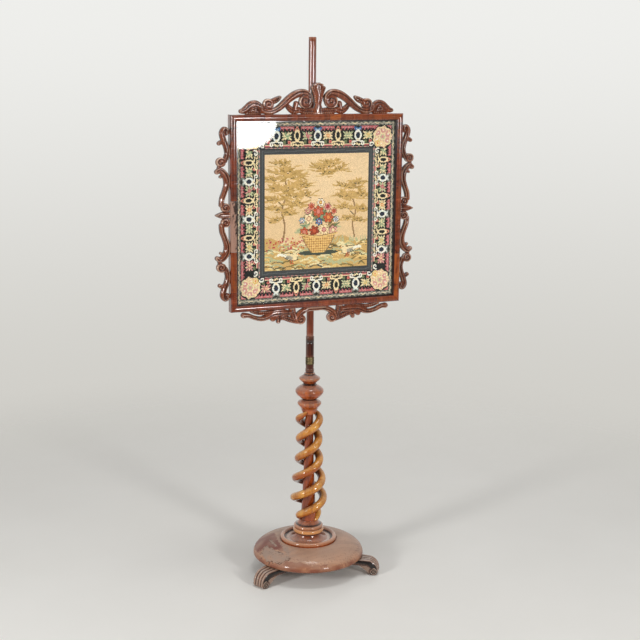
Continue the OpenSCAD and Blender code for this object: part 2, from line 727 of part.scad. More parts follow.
// Thumbscrew: shank in the bracket's boss, collar and round thumb plate
module thumbscrew() {
    tip_y = bush_r + thumb_gap;
    collar_y = boss_end_y + thumb_gap;
    plate_y = collar_y + thumb_collar_t + thumb_plate_r - 1.5;
    color("gold")
        translate([0, 0, upper_eye_z]) {
            translate([0, tip_y, 0])
                rotate([-90, 0, 0]) cylinder(r = thumb_shank_r, h = collar_y - tip_y + eps);
            translate([0, collar_y, 0]) rotate([-90, 0, 0]) cylinder(r = thumb_collar_r, h = thumb_collar_t);
            translate([-thumb_plate_t / 2, plate_y, 0])
                rotate([0, 90, 0]) cylinder(r = thumb_plate_r, h = thumb_plate_t);
        }
}

// Section of the frame's moulding: depth, and distance in from the outer edge
rail_section = [
    for (p = concat(
        [[0, back_y], [0, sight_y]],
        arc(round_w / 2, sight_y, round_w / 2, round_h, 180, 360, 12),
        [[rail_w, sight_y], [rail_w, glass_y], [land_w, glass_y], [land_w, back_y]]
    )) [p[1], -p[0]]
];

// One mitred length of the frame, its outer edge on the X axis and its middle at the origin
module rail(length) {
    intersection() {
        translate([-length / 2, 0, 0])
            rotate([90, 0, 90])
                linear_extrude(length) polygon(rail_section);
        translate([0, front_y - 1, 0])
            rotate([-90, 0, 0])
                linear_extrude(panel_t + 2)
                    polygon([[-length / 2, 0], [length / 2, 0], [length / 2 - rail_w, rail_w],
                        [-length / 2 + rail_w, rail_w]]);
    }
}

module place_top() { translate([0, 0, panel_top_z]) children(); }
module place_bottom() { translate([0, 0, panel_foot_z]) mirror([0, 0, 1]) children(); }
module place_side(s) { translate([s * panel_w / 2, 0, panel_mid_h]) rotate([0, s * 90, 0]) children(); }

// Holes that a length of frame has for its brads, and for pegs at the given places
module rail_holes(length, peg_places) {
    for (x = peg_places)
        translate([x, peg_y, -peg_down - glue_gap]) cylinder(r = peg_r + glue_gap, h = peg_down + 1);
    at_brads(length) cylinder(r = brad_r + glue_gap / 2, h = brad_deep + glue_gap);
}

module at_brads(length) {
    gap = (length - 2 * rail_w) / (brads_a_side + 1);
    for (i = [1 : brads_a_side])
        translate([(i - (brads_a_side + 1) / 2) * gap, brad_y, -land_w - eps]) children();
}

crest_pegs = [-crest_peg_x, 0, crest_peg_x];
apron_pegs = [-apron_peg_x, 0, apron_peg_x];
side_pegs = [-side_peg_z2, -side_peg_z1, side_peg_z1, side_peg_z2];

module rail_top() {
    color("brown")
        difference() {
            place_top()
                difference() {
                    rail(panel_w);
                    rail_holes(panel_w, crest_pegs);
                }
            at_plate_screws(upper_eye_z) plate_screw_hole(plate_screw_len + 1);
        }
}

module rail_bottom() {
    color("brown")
        difference() {
            place_bottom()
                difference() {
                    rail(panel_w);
                    rail_holes(panel_w, apron_pegs);
                }
            at_plate_screws(lower_eye_z) plate_screw_hole(plate_screw_len + 1);
        }
}

module stile(s) {
    color("brown")
        place_side(s)
            difference() {
                rail(panel_h);
                rail_holes(panel_h, side_pegs);
            }
}

module stile_left() { stile(-1); }
module stile_right() { stile(1); }

// A flat sheet that fills the rebate, from a depth towards the back
module sheet(y, thickness) {
    translate([-pane_w / 2, y, panel_mid_h - pane_h / 2]) cube([pane_w, thickness, pane_h]);
}

module glass_pane() { color("lightcyan", 0.35) sheet(glass_y, glass_t); }
module needlework_panel() { color("tan") sheet(canvas_y, canvas_t); }
module stretcher_board() { color("burlywood") sheet(stretcher_y, stretcher_t); }
module back_board() { color("peru") sheet(board_y, back_t); }

module glazing_fillets() {
    y = glass_y + glass_t;
    side_h = pane_h - 2 * fillet_w - 2 * glue_gap;
    color("black")
        for (s = [-1, 1]) {
            translate([-pane_w / 2, y, panel_mid_h + s * (pane_h - fillet_w) / 2 - fillet_w / 2])
                cube([pane_w, fillet_t, fillet_w]);
            translate([s * (pane_w - fillet_w) / 2 - fillet_w / 2, y, panel_mid_h - side_h / 2])
                cube([fillet_w, fillet_t, side_h]);
        }
}

module brads(length) {
    at_brads(length) translate([0, 0, brad_deep - brad_len]) cylinder(r = brad_r, h = brad_len);
}

module back_pins() {
    color("dimgray") {
        place_top() brads(panel_w);
        place_bottom() brads(panel_w);
        place_side(-1) brads(panel_h);
        place_side(1) brads(panel_h);
    }
}

// Strokes of the carvings: rows of a place along the frame's edge, a height off the edge and a width
crest_strokes = [
    [[20, 33, 8], [23, 45, 12], [34, 53, 16], [48, 53, 20], [64, 48, 20], [80, 38, 19], [94, 26, 18],
        [108, 15, 16], [122, 8, 15], [136, 6, 14], [150, 9, 13], [156, 19, 11]],
    [[35, 31, 34], [36, 31, 34]],
    [[136, 25, 28], [137, 25, 28]],
    [[128, 30, 15], [114, 36, 15], [105, 42, 9]],
    [[150, 9, 16], [159, 19, 18], [170, 25, 20], [182, 23, 20], [193, 15, 18], [202, 9, 15],
     [209, 8, 11]],
    [[176, 13, 20], [177, 13, 20]],
    [[158, 6, 13], [176, 4, 11], [194, 4, 10]],
    [[0, -4, 30], [0, 12, 24], [0, 30, 14], [2, 55, 16], [3, 73, 12]],
    [[4, 24, 10], [10, 52, 12], [17, 66, 8]],
    [[2, 26, 10], [7, 54, 12], [10, 72, 9]],
    [[6, 6, 16], [22, 7, 18], [38, 7, 18], [48, 9, 13]],
    [[54, 10, 17], [68, 8, 17], [80, 16, 14], [86, 24, 9]],
    [[64, 12, 10], [62, 20, 12], [60, 26, 14]]
];
side_strokes = [
    [[9, 207, 9], [7, 215, 9], [14, 216, 13], [19, 206, 15], [15, 189, 15], [8, 172, 15], [6, 155, 14],
        [12, 138, 13]],
    [[10, 210, 20], [11, 210, 20]],
    [[23, 134, 24], [24, 134, 24]],
    [[14, 180, 10], [22, 184, 10], [27, 181, 11]],
    [[33, 110, 13], [25, 114, 15], [15, 106, 17], [8, 92, 18], [8, 76, 16], [14, 58, 14], [20, 42, 14],
        [22, 26, 13]],
    [[11, 19, 23], [12, 19, 23]],
    [[16, 103, 9], [24, 97, 8]],
    [[26, 128, 10], [28, 118, 10]],
    [[-4, 0, 16], [16, 0, 18], [28, 0, 12], [36, 0, 5]]
];
apron_strokes = [
    [[-2, 5, 14], [20, 5, 14], [36, 10, 15], [50, 20, 17], [56, 30, 14]],
    [[44, 32, 26], [45, 32, 26]],
    [[54, 37, 14], [74, 31, 15], [92, 24, 15], [104, 26, 13], [107, 34, 11]],
    [[58, 36, 12], [65, 18, 17], [68, 4, 19]],
    [[76, 13, 14], [92, 11, 19], [110, 11, 21], [126, 13, 19], [140, 20, 16], [155, 23, 13],
     [173, 19, 12], [190, 12, 12], [203, 11, 15]],
    [[112, 18, 13], [122, 25, 16]],
    [[126, 8, 13], [148, 9, 11], [166, 6, 11], [180, 1, 11]],
    [[84, 10, 12], [98, 4, 13]]
];
stroke_steps = 3;
crack = 0.2;

// Edge point of a stroke's ribbon at one place along it
function ribbon_edge(line, i, s) = let (
    a = line[max(i - 1, 0)],
    b = line[min(i + 1, len(line) - 1)],
    dir = unit([b[0] - a[0], b[1] - a[1]])
) [line[i][0] - s * dir[1] * line[i][2] / 2, line[i][1] + s * dir[0] * line[i][2] / 2];

module stroke(rows) {
    line = smooth(rows, stroke_steps);
    last = len(line) - 1;
    for (i = [0 : last - 1])
        polygon([ribbon_edge(line, i, 1), ribbon_edge(line, i, -1), ribbon_edge(line, i + 1, -1),
            ribbon_edge(line, i + 1, 1)]);
    for (end = [line[0], line[last]])
        translate([end[0], end[1]]) circle(d = end[2], $fn = 16);
}

// Outline of a carving: its strokes and their mirror image, cut flat where it stands on the frame
module carving_outline(strokes, across, reach) {
    offset(delta = -crack)
        offset(delta = crack)
            difference() {
                for (flip = [[0, 0], across])
                    mirror(flip)
                        for (rows = strokes)
                            stroke(rows);
                if (across[0] == 1)
                    translate([-reach, -reach]) square([2 * reach, reach]);
                else
                    translate([-reach, -reach]) square([reach, 2 * reach]);
            }
}

// A carving in the plane of the frame, with holes for its pegs
module flat_carving(strokes, peg_places) {
    difference() {
        translate([0, carving_back_y, 0])
            rotate([90, 0, 0]) linear_extrude(carving_t) carving_outline(strokes, [1, 0], panel_w);
        for (x = peg_places)
            translate([x, peg_y, -1]) cylinder(r = peg_r + glue_gap, h = peg_up + glue_gap + 1);
    }
}

module crest_carving() { color("maroon") place_top() flat_carving(crest_strokes, crest_pegs); }
module apron_carving() { color("maroon") place_bottom() flat_carving(apron_strokes, apron_pegs); }

module side_carving(s) {
    color("maroon")
        translate([s * panel_w / 2, 0, panel_mid_h])
            mirror([s < 0 ? 1 : 0, 0, 0])
                difference() {
                    translate([0, carving_back_y, 0])
                        rotate([90, 0, 0])
                            linear_extrude(carving_t) carving_outline(side_strokes, [0, 1], panel_h);
                    for (z = side_pegs)
                        translate([-1, peg_y, z])
                            rotate([0, 90, 0]) cylinder(r = peg_r + glue_gap, h = peg_up + glue_gap + 1);
                }
}

module side_carving_left() { side_carving(-1); }
module side_carving_right() { side_carving(1); }

module pegs(places) {
    for (x = places)
        translate([x, peg_y, -peg_down]) cylinder(r = peg_r, h = peg_down + peg_up);
}

module carving_pegs() {
    color("burlywood") {
        place_top() pegs(crest_pegs);
        place_bottom() pegs(apron_pegs);
        place_side(-1) pegs(side_pegs);
        place_side(1) pegs(side_pegs);
    }
}

base_platform();
foot_left();
foot_right();
foot_back();
foot_screws();
column_screw();
column_washer();
column_base();
core_pillar();
twist_strand_1();
twist_strand_2();
column_top();
pole_lower();
pole_ferrule();
pole_peg();
pole_upper();
slide_bush();
bush_ring();
upper_bracket();
lower_bracket();
bracket_screws();
thumbscrew();
rail_top();
rail_bottom();
stile_left();
stile_right();
glass_pane();
glazing_fillets();
needlework_panel();
stretcher_board();
back_board();
back_pins();
crest_carving();
side_carving_left();
side_carving_right();
apron_carving();
carving_pegs();
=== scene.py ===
import json
import math

import bmesh
import bpy
import numpy as np
from mathutils import Matrix, Vector


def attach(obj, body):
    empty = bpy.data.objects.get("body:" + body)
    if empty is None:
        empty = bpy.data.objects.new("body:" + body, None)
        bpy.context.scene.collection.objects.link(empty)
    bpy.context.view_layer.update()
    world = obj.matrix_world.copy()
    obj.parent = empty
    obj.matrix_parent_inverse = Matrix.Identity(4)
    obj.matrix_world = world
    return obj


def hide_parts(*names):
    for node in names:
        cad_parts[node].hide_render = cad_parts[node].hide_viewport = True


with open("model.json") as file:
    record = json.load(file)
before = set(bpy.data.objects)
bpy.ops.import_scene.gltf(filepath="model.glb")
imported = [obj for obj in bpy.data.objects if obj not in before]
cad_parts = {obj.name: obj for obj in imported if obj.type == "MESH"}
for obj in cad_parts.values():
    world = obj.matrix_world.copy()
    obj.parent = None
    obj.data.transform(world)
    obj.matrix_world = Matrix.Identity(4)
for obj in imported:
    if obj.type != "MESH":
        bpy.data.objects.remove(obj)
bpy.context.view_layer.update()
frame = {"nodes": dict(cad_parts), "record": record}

# The camera
# It stands 3.3 m from the pole, a little lower than the pole's top and to the left of the screen's
# front, and looks a little down. Distances are in metres, angles in degrees.
camera_distance = 3.3055
camera_height = 1.4098
camera_azimuth = -22.384
camera_pitch = 11.99
camera_yaw = 0.46
camera_roll = 0.6
sensor_width = 36.0
focal_in_pixels = 1257.3
image_side = 640
camera_data = bpy.data.cameras.new("camera")
camera_data.sensor_width = sensor_width
camera_data.lens = focal_in_pixels / image_side * sensor_width
camera = bpy.data.objects.new("camera", camera_data)
bpy.context.scene.collection.objects.link(camera)
camera_turn = math.radians(camera_azimuth)
camera.location = (camera_distance * math.sin(camera_turn), -camera_distance * math.cos(camera_turn),
                   camera_height)
look = Matrix.Rotation(math.radians(camera_azimuth - camera_yaw), 3, "Z")
look = look @ Matrix.Rotation(math.radians(90 - camera_pitch), 3, "X")
look = look @ Matrix.Rotation(math.radians(camera_roll), 3, "Z")
camera.rotation_euler = look.to_euler()
bpy.context.scene.camera = camera

# The room
# A pale studio: a round floor that fades into a pale backdrop, soft light from all round, two lamps in
# front that show on the glass and the turned wood, and two weaker, wider ones above and behind.
bpy.context.scene.view_settings.view_transform = "Standard"


def paint(code):
    """The linear colour of a hex code, with full cover."""
    parts = [int(code[at:at + 2], 16) / 255 for at in (1, 3, 5)]
    return (*[part / 12.92 if part <= 0.04045 else ((part + 0.055) / 1.055) ** 2.4 for part in parts], 1.0)


def place(tree, kind, inputs=None, **settings):
    """A new shader node, with its inputs set to values or linked to other nodes' outputs."""
    made = tree.nodes.new("ShaderNode" + kind)
    for name, value in settings.items():
        setattr(made, name, value)
    for socket, value in (inputs or {}).items():
        if isinstance(value, bpy.types.NodeSocket):
            tree.links.new(value, made.inputs[socket])
        else:
            made.inputs[socket].default_value = value
    return made


def reckon(tree, operation, first, second=0.0, third=0.0):
    """The result of a sum on values or outputs."""
    return place(tree, "Math", {0: first, 1: second, 2: third}, operation=operation).outputs[0]


def between(tree, value, low, high, at_low=0.0, at_high=1.0):
    """A soft step from one value to another as the input goes from low to high."""
    ends = {"Value": value, "From Min": low, "From Max": high, "To Min": at_low, "To Max": at_high}
    return place(tree, "MapRange", ends, interpolation_type="SMOOTHSTEP").outputs[0]


def mixed(tree, share, first, second):
    """One colour laid over another by a share."""
    return place(tree, "Mix", {0: share, 6: first, 7: second}, data_type="RGBA").outputs[2]


def noise(tree, where, scale, detail, **more):
    """A cloudy value from 0 to 1 that changes from place to place."""
    return place(tree, "TexNoise", {"Vector": where, "Scale": scale, "Detail": detail, **more}).outputs["Fac"]


def new_finish(name, settings):
    """A material with fixed values on its shader, and its node tree and shader for the rest."""
    material = bpy.data.materials.new(name)
    material.use_nodes = True
    shader = material.node_tree.nodes["Principled BSDF"]
    for socket, value in settings.items():
        shader.inputs[socket].default_value = value
    return material, material.node_tree, shader


def ring_faces(rings, sides):
    """Faces between rings of corners that close on themselves."""
    return [(r * sides + s, r * sides + (s + 1) % sides,
             (r + 1) * sides + (s + 1) % sides, (r + 1) * sides + s)
            for r in range(rings - 1) for s in range(sides)]


# Brightness of the light from all round, and of the room's front as glossy surfaces see it
room_light = 0.29
room_front = 0.16
backdrop_low = "#d0cec8"
backdrop_high = "#efefec"
world = bpy.data.worlds.new("room")
bpy.context.scene.world = world
world.use_nodes = True
room = world.node_tree
way_seen = place(room, "SeparateXYZ", {0: place(room, "TexCoord").outputs["Generated"]}).outputs
backdrop = mixed(room, between(room, way_seen["Z"], -0.3, 0.06), paint(backdrop_low), paint(backdrop_high))
ray = place(room, "LightPath").outputs
seen_ray = reckon(room, "MAXIMUM", ray["Is Camera Ray"], ray["Is Glossy Ray"])
seen_ray = reckon(room, "MAXIMUM", seen_ray, ray["Is Transmission Ray"])
only_gloss = reckon(room, "SUBTRACT", ray["Is Glossy Ray"], ray["Is Camera Ray"])
front_share = between(room, way_seen["Y"], -0.75, 0.1, 1.0, 0.0)
front_share = reckon(room, "MULTIPLY", front_share, only_gloss)
backdrop = mixed(room, front_share, backdrop, (room_front, room_front, room_front, 1.0))
room_colour = mixed(room, seen_ray, (room_light, room_light, room_light, 1.0), backdrop)
room.links.new(room_colour, room.nodes["Background"].inputs["Color"])

floor_r = 2.3
floor_rings = np.linspace(0.15, 1, 9) * floor_r
floor_rounds = 96
floor_turns = np.linspace(0, 2 * math.pi, floor_rounds, endpoint=False)
floor_corners = [(r * math.cos(a), r * math.sin(a), 0) for r in floor_rings for a in floor_turns]
floor_faces = [tuple(range(floor_rounds))]
floor_faces += [face[::-1] for face in ring_faces(len(floor_rings), floor_rounds)]
floor_mesh = bpy.data.meshes.new("floor")
floor_mesh.from_pydata(floor_corners, [], floor_faces)
floor = bpy.data.objects.new("floor", floor_mesh)
bpy.context.scene.collection.objects.link(floor)
floor_paint, tree, shader = new_finish("pale_floor", {"Roughness": 0.9, "Specular IOR Level": 0.1})
floor_mesh.materials.append(floor_paint)
spot = place(tree, "TexCoord").outputs["Object"]
floor_colour = mixed(tree, noise(tree, spot, 3.0, 4.0), paint("#f0eee8"), paint("#f7f5f0"))
tree.links.new(floor_colour, shader.inputs["Base Color"])
from_pole = place(tree, "VectorMath", {0: spot}, operation="LENGTH").outputs["Value"]
cover = between(tree, from_pole, 0.35 * floor_r, 0.98 * floor_r, 1.0, 0.0)
faded = place(tree, "MixShader", {0: cover, 1: place(tree, "BsdfTransparent").outputs[0],
                                  2: shader.outputs[0]})
tree.links.new(faded.outputs[0], tree.nodes["Material Output"].inputs["Surface"])

# Each lamp: its place, its width and height in metres, and its power in watts. Its corners fade to a round.
lamps = {"right_lamp": ((0.77, -3.0, 1.205), 0.47, 0.56, 43.0),
         "left_lamp": ((-2.86, -1.18, 1.3), 0.47, 0.56, 48.0),
         "top_lamp": ((0.1, -0.5, 3.6), 0.9, 0.9, 22.0),
         "back_lamp": ((1.7, 2.3, 1.7), 1.0, 1.0, 16.0)}
lamp_aim = Vector((0, 0, 0.75))
for name, (where, width, height, power) in lamps.items():
    lamp_data = bpy.data.lights.new(name, "AREA")
    lamp_data.shape = "RECTANGLE"
    lamp_data.size = width
    lamp_data.size_y = height
    lamp_data.energy = power
    lamp_data.use_nodes = True
    tree = lamp_data.node_tree
    face = place(tree, "SeparateXYZ", {0: place(tree, "NewGeometry").outputs["Parametric"]}).outputs
    off_middle = [reckon(tree, "MULTIPLY_ADD", face[axis], 2.0, -1.0) for axis in ("X", "Y")]
    to_edge = [reckon(tree, "POWER", reckon(tree, "ABSOLUTE", off), 4.0) for off in off_middle]
    glow = between(tree, reckon(tree, "ADD", *to_edge), 0.7, 1.0, 1.0, 0.0)
    tree.links.new(glow, tree.nodes["Emission"].inputs["Strength"])
    lamp = bpy.data.objects.new(name, lamp_data)
    bpy.context.scene.collection.objects.link(lamp)
    lamp.location = where
    lamp.rotation_euler = (lamp_aim - lamp.location).to_track_quat("-Z", "Y").to_euler()
    lamp.visible_camera = False
    lamp.visible_glossy = name != "back_lamp"

# The feet
# Three feet of dark carved wood, sawn to a scroll, reeded along the back and rolled over at the toe,
# with a volute on each side. The flat root of each is screwed to the platform from below.
mm = 0.001


def shared_effect(name, inputs, outputs):
    """An empty node group with named sockets, and the sockets at its two ends."""
    group = bpy.data.node_groups.new(name, "ShaderNodeTree")
    for socket, kind in inputs.items():
        group.interface.new_socket(name=socket, in_out="INPUT", socket_type="NodeSocket" + kind)
    for socket, kind in outputs.items():
        group.interface.new_socket(name=socket, in_out="OUTPUT", socket_type="NodeSocket" + kind)
    return group, group.nodes.new("NodeGroupInput").outputs, group.nodes.new("NodeGroupOutput").inputs


# Wood grain, which runs along Z of the place that it is given: broad figure, fine fibres and open pores.
wood_grain, given, gives = shared_effect(
    "wood_grain",
    {"Place": "Vector", "Pale": "Color", "Mid": "Color", "Dark": "Color", "Fineness": "Float"},
    {"Colour": "Color", "Pores": "Float"})
fine = place(wood_grain, "VectorMath", {0: given["Place"], 3: given["Fineness"]}, operation="SCALE")
drawn, drawn_out = [place(wood_grain, "VectorMath", {0: fine.outputs[0], 1: (1.0, 1.0, stretch)},
                          operation="MULTIPLY").outputs[0] for stretch in (0.07, 0.03)]
figure = noise(wood_grain, drawn, 60.0, 5.0, Roughness=0.6, Distortion=0.7)
fibre = noise(wood_grain, drawn, 430.0, 3.0)
pore = between(wood_grain, noise(wood_grain, drawn_out, 800.0, 2.0), 0.58, 0.7)
grain_colour = mixed(wood_grain, between(wood_grain, figure, 0.30, 0.52), given["Dark"], given["Mid"])
grain_colour = mixed(wood_grain, between(wood_grain, figure, 0.50, 0.72), grain_colour, given["Pale"])
fibre_share = between(wood_grain, fibre, 0.45, 0.8, 0.0, 0.4)
grain_colour = mixed(wood_grain, fibre_share, grain_colour, given["Dark"])
pore_share = reckon(wood_grain, "MULTIPLY", pore, 0.35)
wood_grain.links.new(mixed(wood_grain, pore_share, grain_colour, given["Dark"]), gives["Colour"])
wood_grain.links.new(reckon(wood_grain, "SUBTRACT", 1.0, pore), gives["Pores"])

# An old polish over wood: patches and bare places, dirt and painted shade in hollows, rubbed edges and
# painted highlights on proud places, and settled dust with painted sheen on upward faces.
old_polish_and_painted_light, given, gives = shared_effect(
    "old_polish_and_painted_light",
    {"Colour": "Color", "Patch": "Color", "Bare": "Color", "Grime_and_shade": "Color", "Worn_and_highlight": "Color", "Dust_and_sheen": "Color",
     "Dirt_and_shade": "Float", "Wear_and_highlight": "Float", "Dust_and_sheen_amount": "Float", "Gloss": "Float"},
    {"Colour": "Color", "Roughness": "Float"})
spot = place(old_polish_and_painted_light, "TexCoord").outputs["Object"]
blotch = noise(old_polish_and_painted_light, spot, 28.0, 5.0)
speck = noise(old_polish_and_painted_light, spot, 260.0, 4.0)
marks = {name: place(old_polish_and_painted_light, "Attribute", attribute_name=name).outputs["Fac"]
         for name in ("patch", "bare", "hollow", "proud")}
normal = place(old_polish_and_painted_light, "NewGeometry").outputs["Normal"]
facing_up = place(old_polish_and_painted_light, "SeparateXYZ", {0: normal}).outputs["Z"]
broken = reckon(old_polish_and_painted_light, "MULTIPLY_ADD", speck, 0.8, -0.4)
polish_and_painted_light = mixed(old_polish_and_painted_light, between(old_polish_and_painted_light, blotch, 0.3, 0.7, 0.0, 0.22), given["Colour"], given["Grime_and_shade"])
# Dust and painted sheen on faces that look up, broken by speckle
dust_and_sheen_edge = reckon(old_polish_and_painted_light, "MULTIPLY_ADD", reckon(old_polish_and_painted_light, "ADD", blotch, broken), 0.5, -0.25)
dust_and_sheen_share = between(old_polish_and_painted_light, reckon(old_polish_and_painted_light, "ADD", facing_up, dust_and_sheen_edge), 0.25, 0.95)
dust_and_sheen_share = reckon(old_polish_and_painted_light, "MULTIPLY", dust_and_sheen_share, given["Dust_and_sheen_amount"])
polish_and_painted_light = mixed(old_polish_and_painted_light, dust_and_sheen_share, polish_and_painted_light, given["Dust_and_sheen"])
polish_and_painted_light = mixed(old_polish_and_painted_light, marks["patch"], polish_and_painted_light, given["Patch"])
polish_and_painted_light = mixed(old_polish_and_painted_light, marks["bare"], polish_and_painted_light, given["Bare"])
# Hollow marks take the grime colour: dirt, and painted shade in grooves, recesses and undersides
in_hollows = between(old_polish_and_painted_light, reckon(old_polish_and_painted_light, "ADD", marks["hollow"], broken), 0.05, 0.75)
dirt_and_shade_share = reckon(old_polish_and_painted_light, "MULTIPLY", in_hollows, given["Dirt_and_shade"])
polish_and_painted_light = mixed(old_polish_and_painted_light, dirt_and_shade_share, polish_and_painted_light, given["Grime_and_shade"])
# Proud marks take the worn colour: rubbed edges, and painted highlights on ridges and crests
on_edges = between(old_polish_and_painted_light, reckon(old_polish_and_painted_light, "ADD", marks["proud"], broken), 0.25, 0.85)
worn_and_highlight_share = reckon(old_polish_and_painted_light, "MULTIPLY", on_edges, given["Wear_and_highlight"])
old_polish_and_painted_light.links.new(mixed(old_polish_and_painted_light, worn_and_highlight_share, polish_and_painted_light, given["Worn_and_highlight"]), gives["Colour"])
dulled = reckon(old_polish_and_painted_light, "MULTIPLY_ADD", dust_and_sheen_share, 0.35, given["Gloss"])
dulled = reckon(old_polish_and_painted_light, "MULTIPLY_ADD", marks["bare"], 0.3, dulled)
dulled = reckon(old_polish_and_painted_light, "MULTIPLY_ADD", dirt_and_shade_share, 0.2, dulled)
dulled = reckon(old_polish_and_painted_light, "MULTIPLY_ADD", between(old_polish_and_painted_light, speck, 0.4, 0.7), 0.07, dulled)
old_polish_and_painted_light.links.new(dulled, gives["Roughness"])


def roughen(tree, shader, height, strength, depth):
    """A fine relief on a finish, with its depth in millimetres."""
    bump = place(tree, "Bump", {"Height": height, "Strength": strength, "Distance": depth * mm})
    tree.links.new(bump.outputs[0], shader.inputs["Normal"])


def wood_finish(name, pale, mid, dark, gloss, coat, grime_and_shade, worn_and_highlight, wear_and_highlight, dust_and_sheen_amount, dust_and_sheen="#b09d90", dirt=0.8,
                grain_turn=(0, 0, 0), fineness=1.0, patch="#000000", bare="#b79a84", relief=0.25):
    """A polished wood: its three grain colours, its polish, a rubbed colour for proud places that also paints
    highlights, a dark colour and share for hollows that also paint shade, and the turn of its grain.
    """
    material, tree, shader = new_finish(name, {"Coat Weight": coat, "Coat Roughness": 0.08, "Coat IOR": 1.5,
                                               "Specular IOR Level": 0.2})
    spot = place(tree, "TexCoord").outputs["Object"]
    upright = place(tree, "Mapping", {"Vector": spot, "Rotation": [math.radians(a) for a in grain_turn]})
    grain = place(tree, "Group", {"Place": upright.outputs[0], "Pale": paint(pale), "Mid": paint(mid),
                                  "Dark": paint(dark), "Fineness": fineness}, node_tree=wood_grain)
    polish_and_painted_light = place(tree, "Group", {"Colour": grain.outputs["Colour"], "Patch": paint(patch),
                                   "Bare": paint(bare), "Grime_and_shade": paint(grime_and_shade), "Worn_and_highlight": paint(worn_and_highlight),
                                   "Dust_and_sheen": paint(dust_and_sheen), "Dirt_and_shade": dirt, "Wear_and_highlight": wear_and_highlight, "Dust_and_sheen_amount": dust_and_sheen_amount,
                                   "Gloss": gloss}, node_tree=old_polish_and_painted_light)
    tree.links.new(polish_and_painted_light.outputs["Colour"], shader.inputs["Base Color"])
    tree.links.new(polish_and_painted_light.outputs["Roughness"], shader.inputs["Roughness"])
    surface = reckon(tree, "MULTIPLY_ADD", noise(tree, spot, 90.0, 2.0), 0.8, grain.outputs["Pores"])
    roughen(tree, shader, surface, relief, 0.15)
    return material


def fitted(name, mesh, material, body, stands_for, crease, turn=0.0):
    """An object of a mesh, smooth up to a crease in degrees, on a body in place of CAD nodes."""
    mesh.shade_smooth()
    mesh.set_sharp_from_angle(angle=math.radians(crease))
    mesh.materials.append(material)
    made = bpy.data.objects.new(name, mesh)
    made.rotation_euler[2] = turn
    bpy.context.scene.collection.objects.link(made)
    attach(made, body)
    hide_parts(*stands_for)
    return made


def piece(name, corners, faces, material, body, stands_for, marks=None, crease=35, turn=0.0):
    """A mesh of corners in millimetres, in place of CAD nodes, with marks for its finish at each corner."""
    mesh = bpy.data.meshes.new(name)
    mesh.from_pydata((np.asarray(corners, float) * mm).tolist(), [], faces)
    form = bmesh.new()
    form.from_mesh(mesh)
    bmesh.ops.recalc_face_normals(form, faces=form.faces)
    form.to_mesh(mesh)
    form.free()
    for mark, values in (marks or {}).items():
        mesh.attributes.new(mark, "FLOAT", "POINT").data.foreach_set("value", np.asarray(values, np.float32))
    return fitted(name, mesh, material, body, stands_for, crease, turn)


def smooth(rows, steps):
    """A curve through rows of numbers, with so many steps from each row to the next."""
    rows = [np.array(row, float) for row in rows]
    last = len(rows) - 1
    points = []
    for at in range(last):
        a, b, c, d = rows[max(at - 1, 0)], rows[at], rows[at + 1], rows[min(at + 2, last)]
        for t in np.arange(steps) / steps:
            points.append(b + ((c - a) * t + (2 * a - 5 * b + 4 * c - d) * t ** 2
                               + (3 * b - a - 3 * c + d) * t ** 3) / 2)
    return points + [rows[last]]


def arc(x, y, rx, ry, start, end, steps):
    """Points of an arc about a middle, between two angles in degrees."""
    angles = np.radians(np.linspace(start, end, steps + 1))
    return [np.array((x + rx * math.cos(a), y + ry * math.sin(a))) for a in angles]


def tube(path, radii, sides):
    """Corners and faces of a round rod along a path, with a radius at each point."""
    path = np.array(path, float)
    along = np.gradient(path, axis=0)
    along /= np.linalg.norm(along, axis=1)[:, None]
    across = np.cross((0, 0, 1), along)
    weak = np.linalg.norm(across, axis=1) < 1e-6
    across[weak] = (1, 0, 0)
    across /= np.linalg.norm(across, axis=1)[:, None]
    over = np.cross(along, across)
    turns = np.linspace(0, 2 * math.pi, sides, endpoint=False)
    rings = [p + r * (np.outer(np.cos(turns), a) + np.outer(np.sin(turns), o))
             for p, r, a, o in zip(path, np.broadcast_to(radii, len(path)), across, over)]
    faces = ring_faces(len(path), sides)
    faces += [tuple(range(sides))[::-1], tuple(range(sides * (len(path) - 1), sides * len(path)))]
    return np.concatenate(rings), faces


def joined(*shapes):
    """Several shapes of corners and faces as one."""
    corners, faces, start = [], [], 0
    for shape_corners, shape_faces in shapes:
        corners.append(np.asarray(shape_corners, float))
        faces += [tuple(start + corner for corner in face) for face in shape_faces]
        start += len(shape_corners)
    return np.concatenate(corners), faces


foot_h = 44
foot_root = 96
foot_web = 15
root_slope = 8
foot_w = 40
foot_flare = 12
foot_reeds = 4
reed_deep = 3.0
scroll_r = 12
scroll_z = 11.5
knuckle_h = 38
back_h = 43
rim_in = 142.5
foot_places = {name: np.array(next(mount["pos_m"] for mount in frame["record"]["mounts"]
                                   if mount["name"] == "floor_rest_" + name)) / mm
               for name in ("left", "right", "back")}
foot_reach = np.linalg.norm(foot_places["back"])
cleft_angle = 132


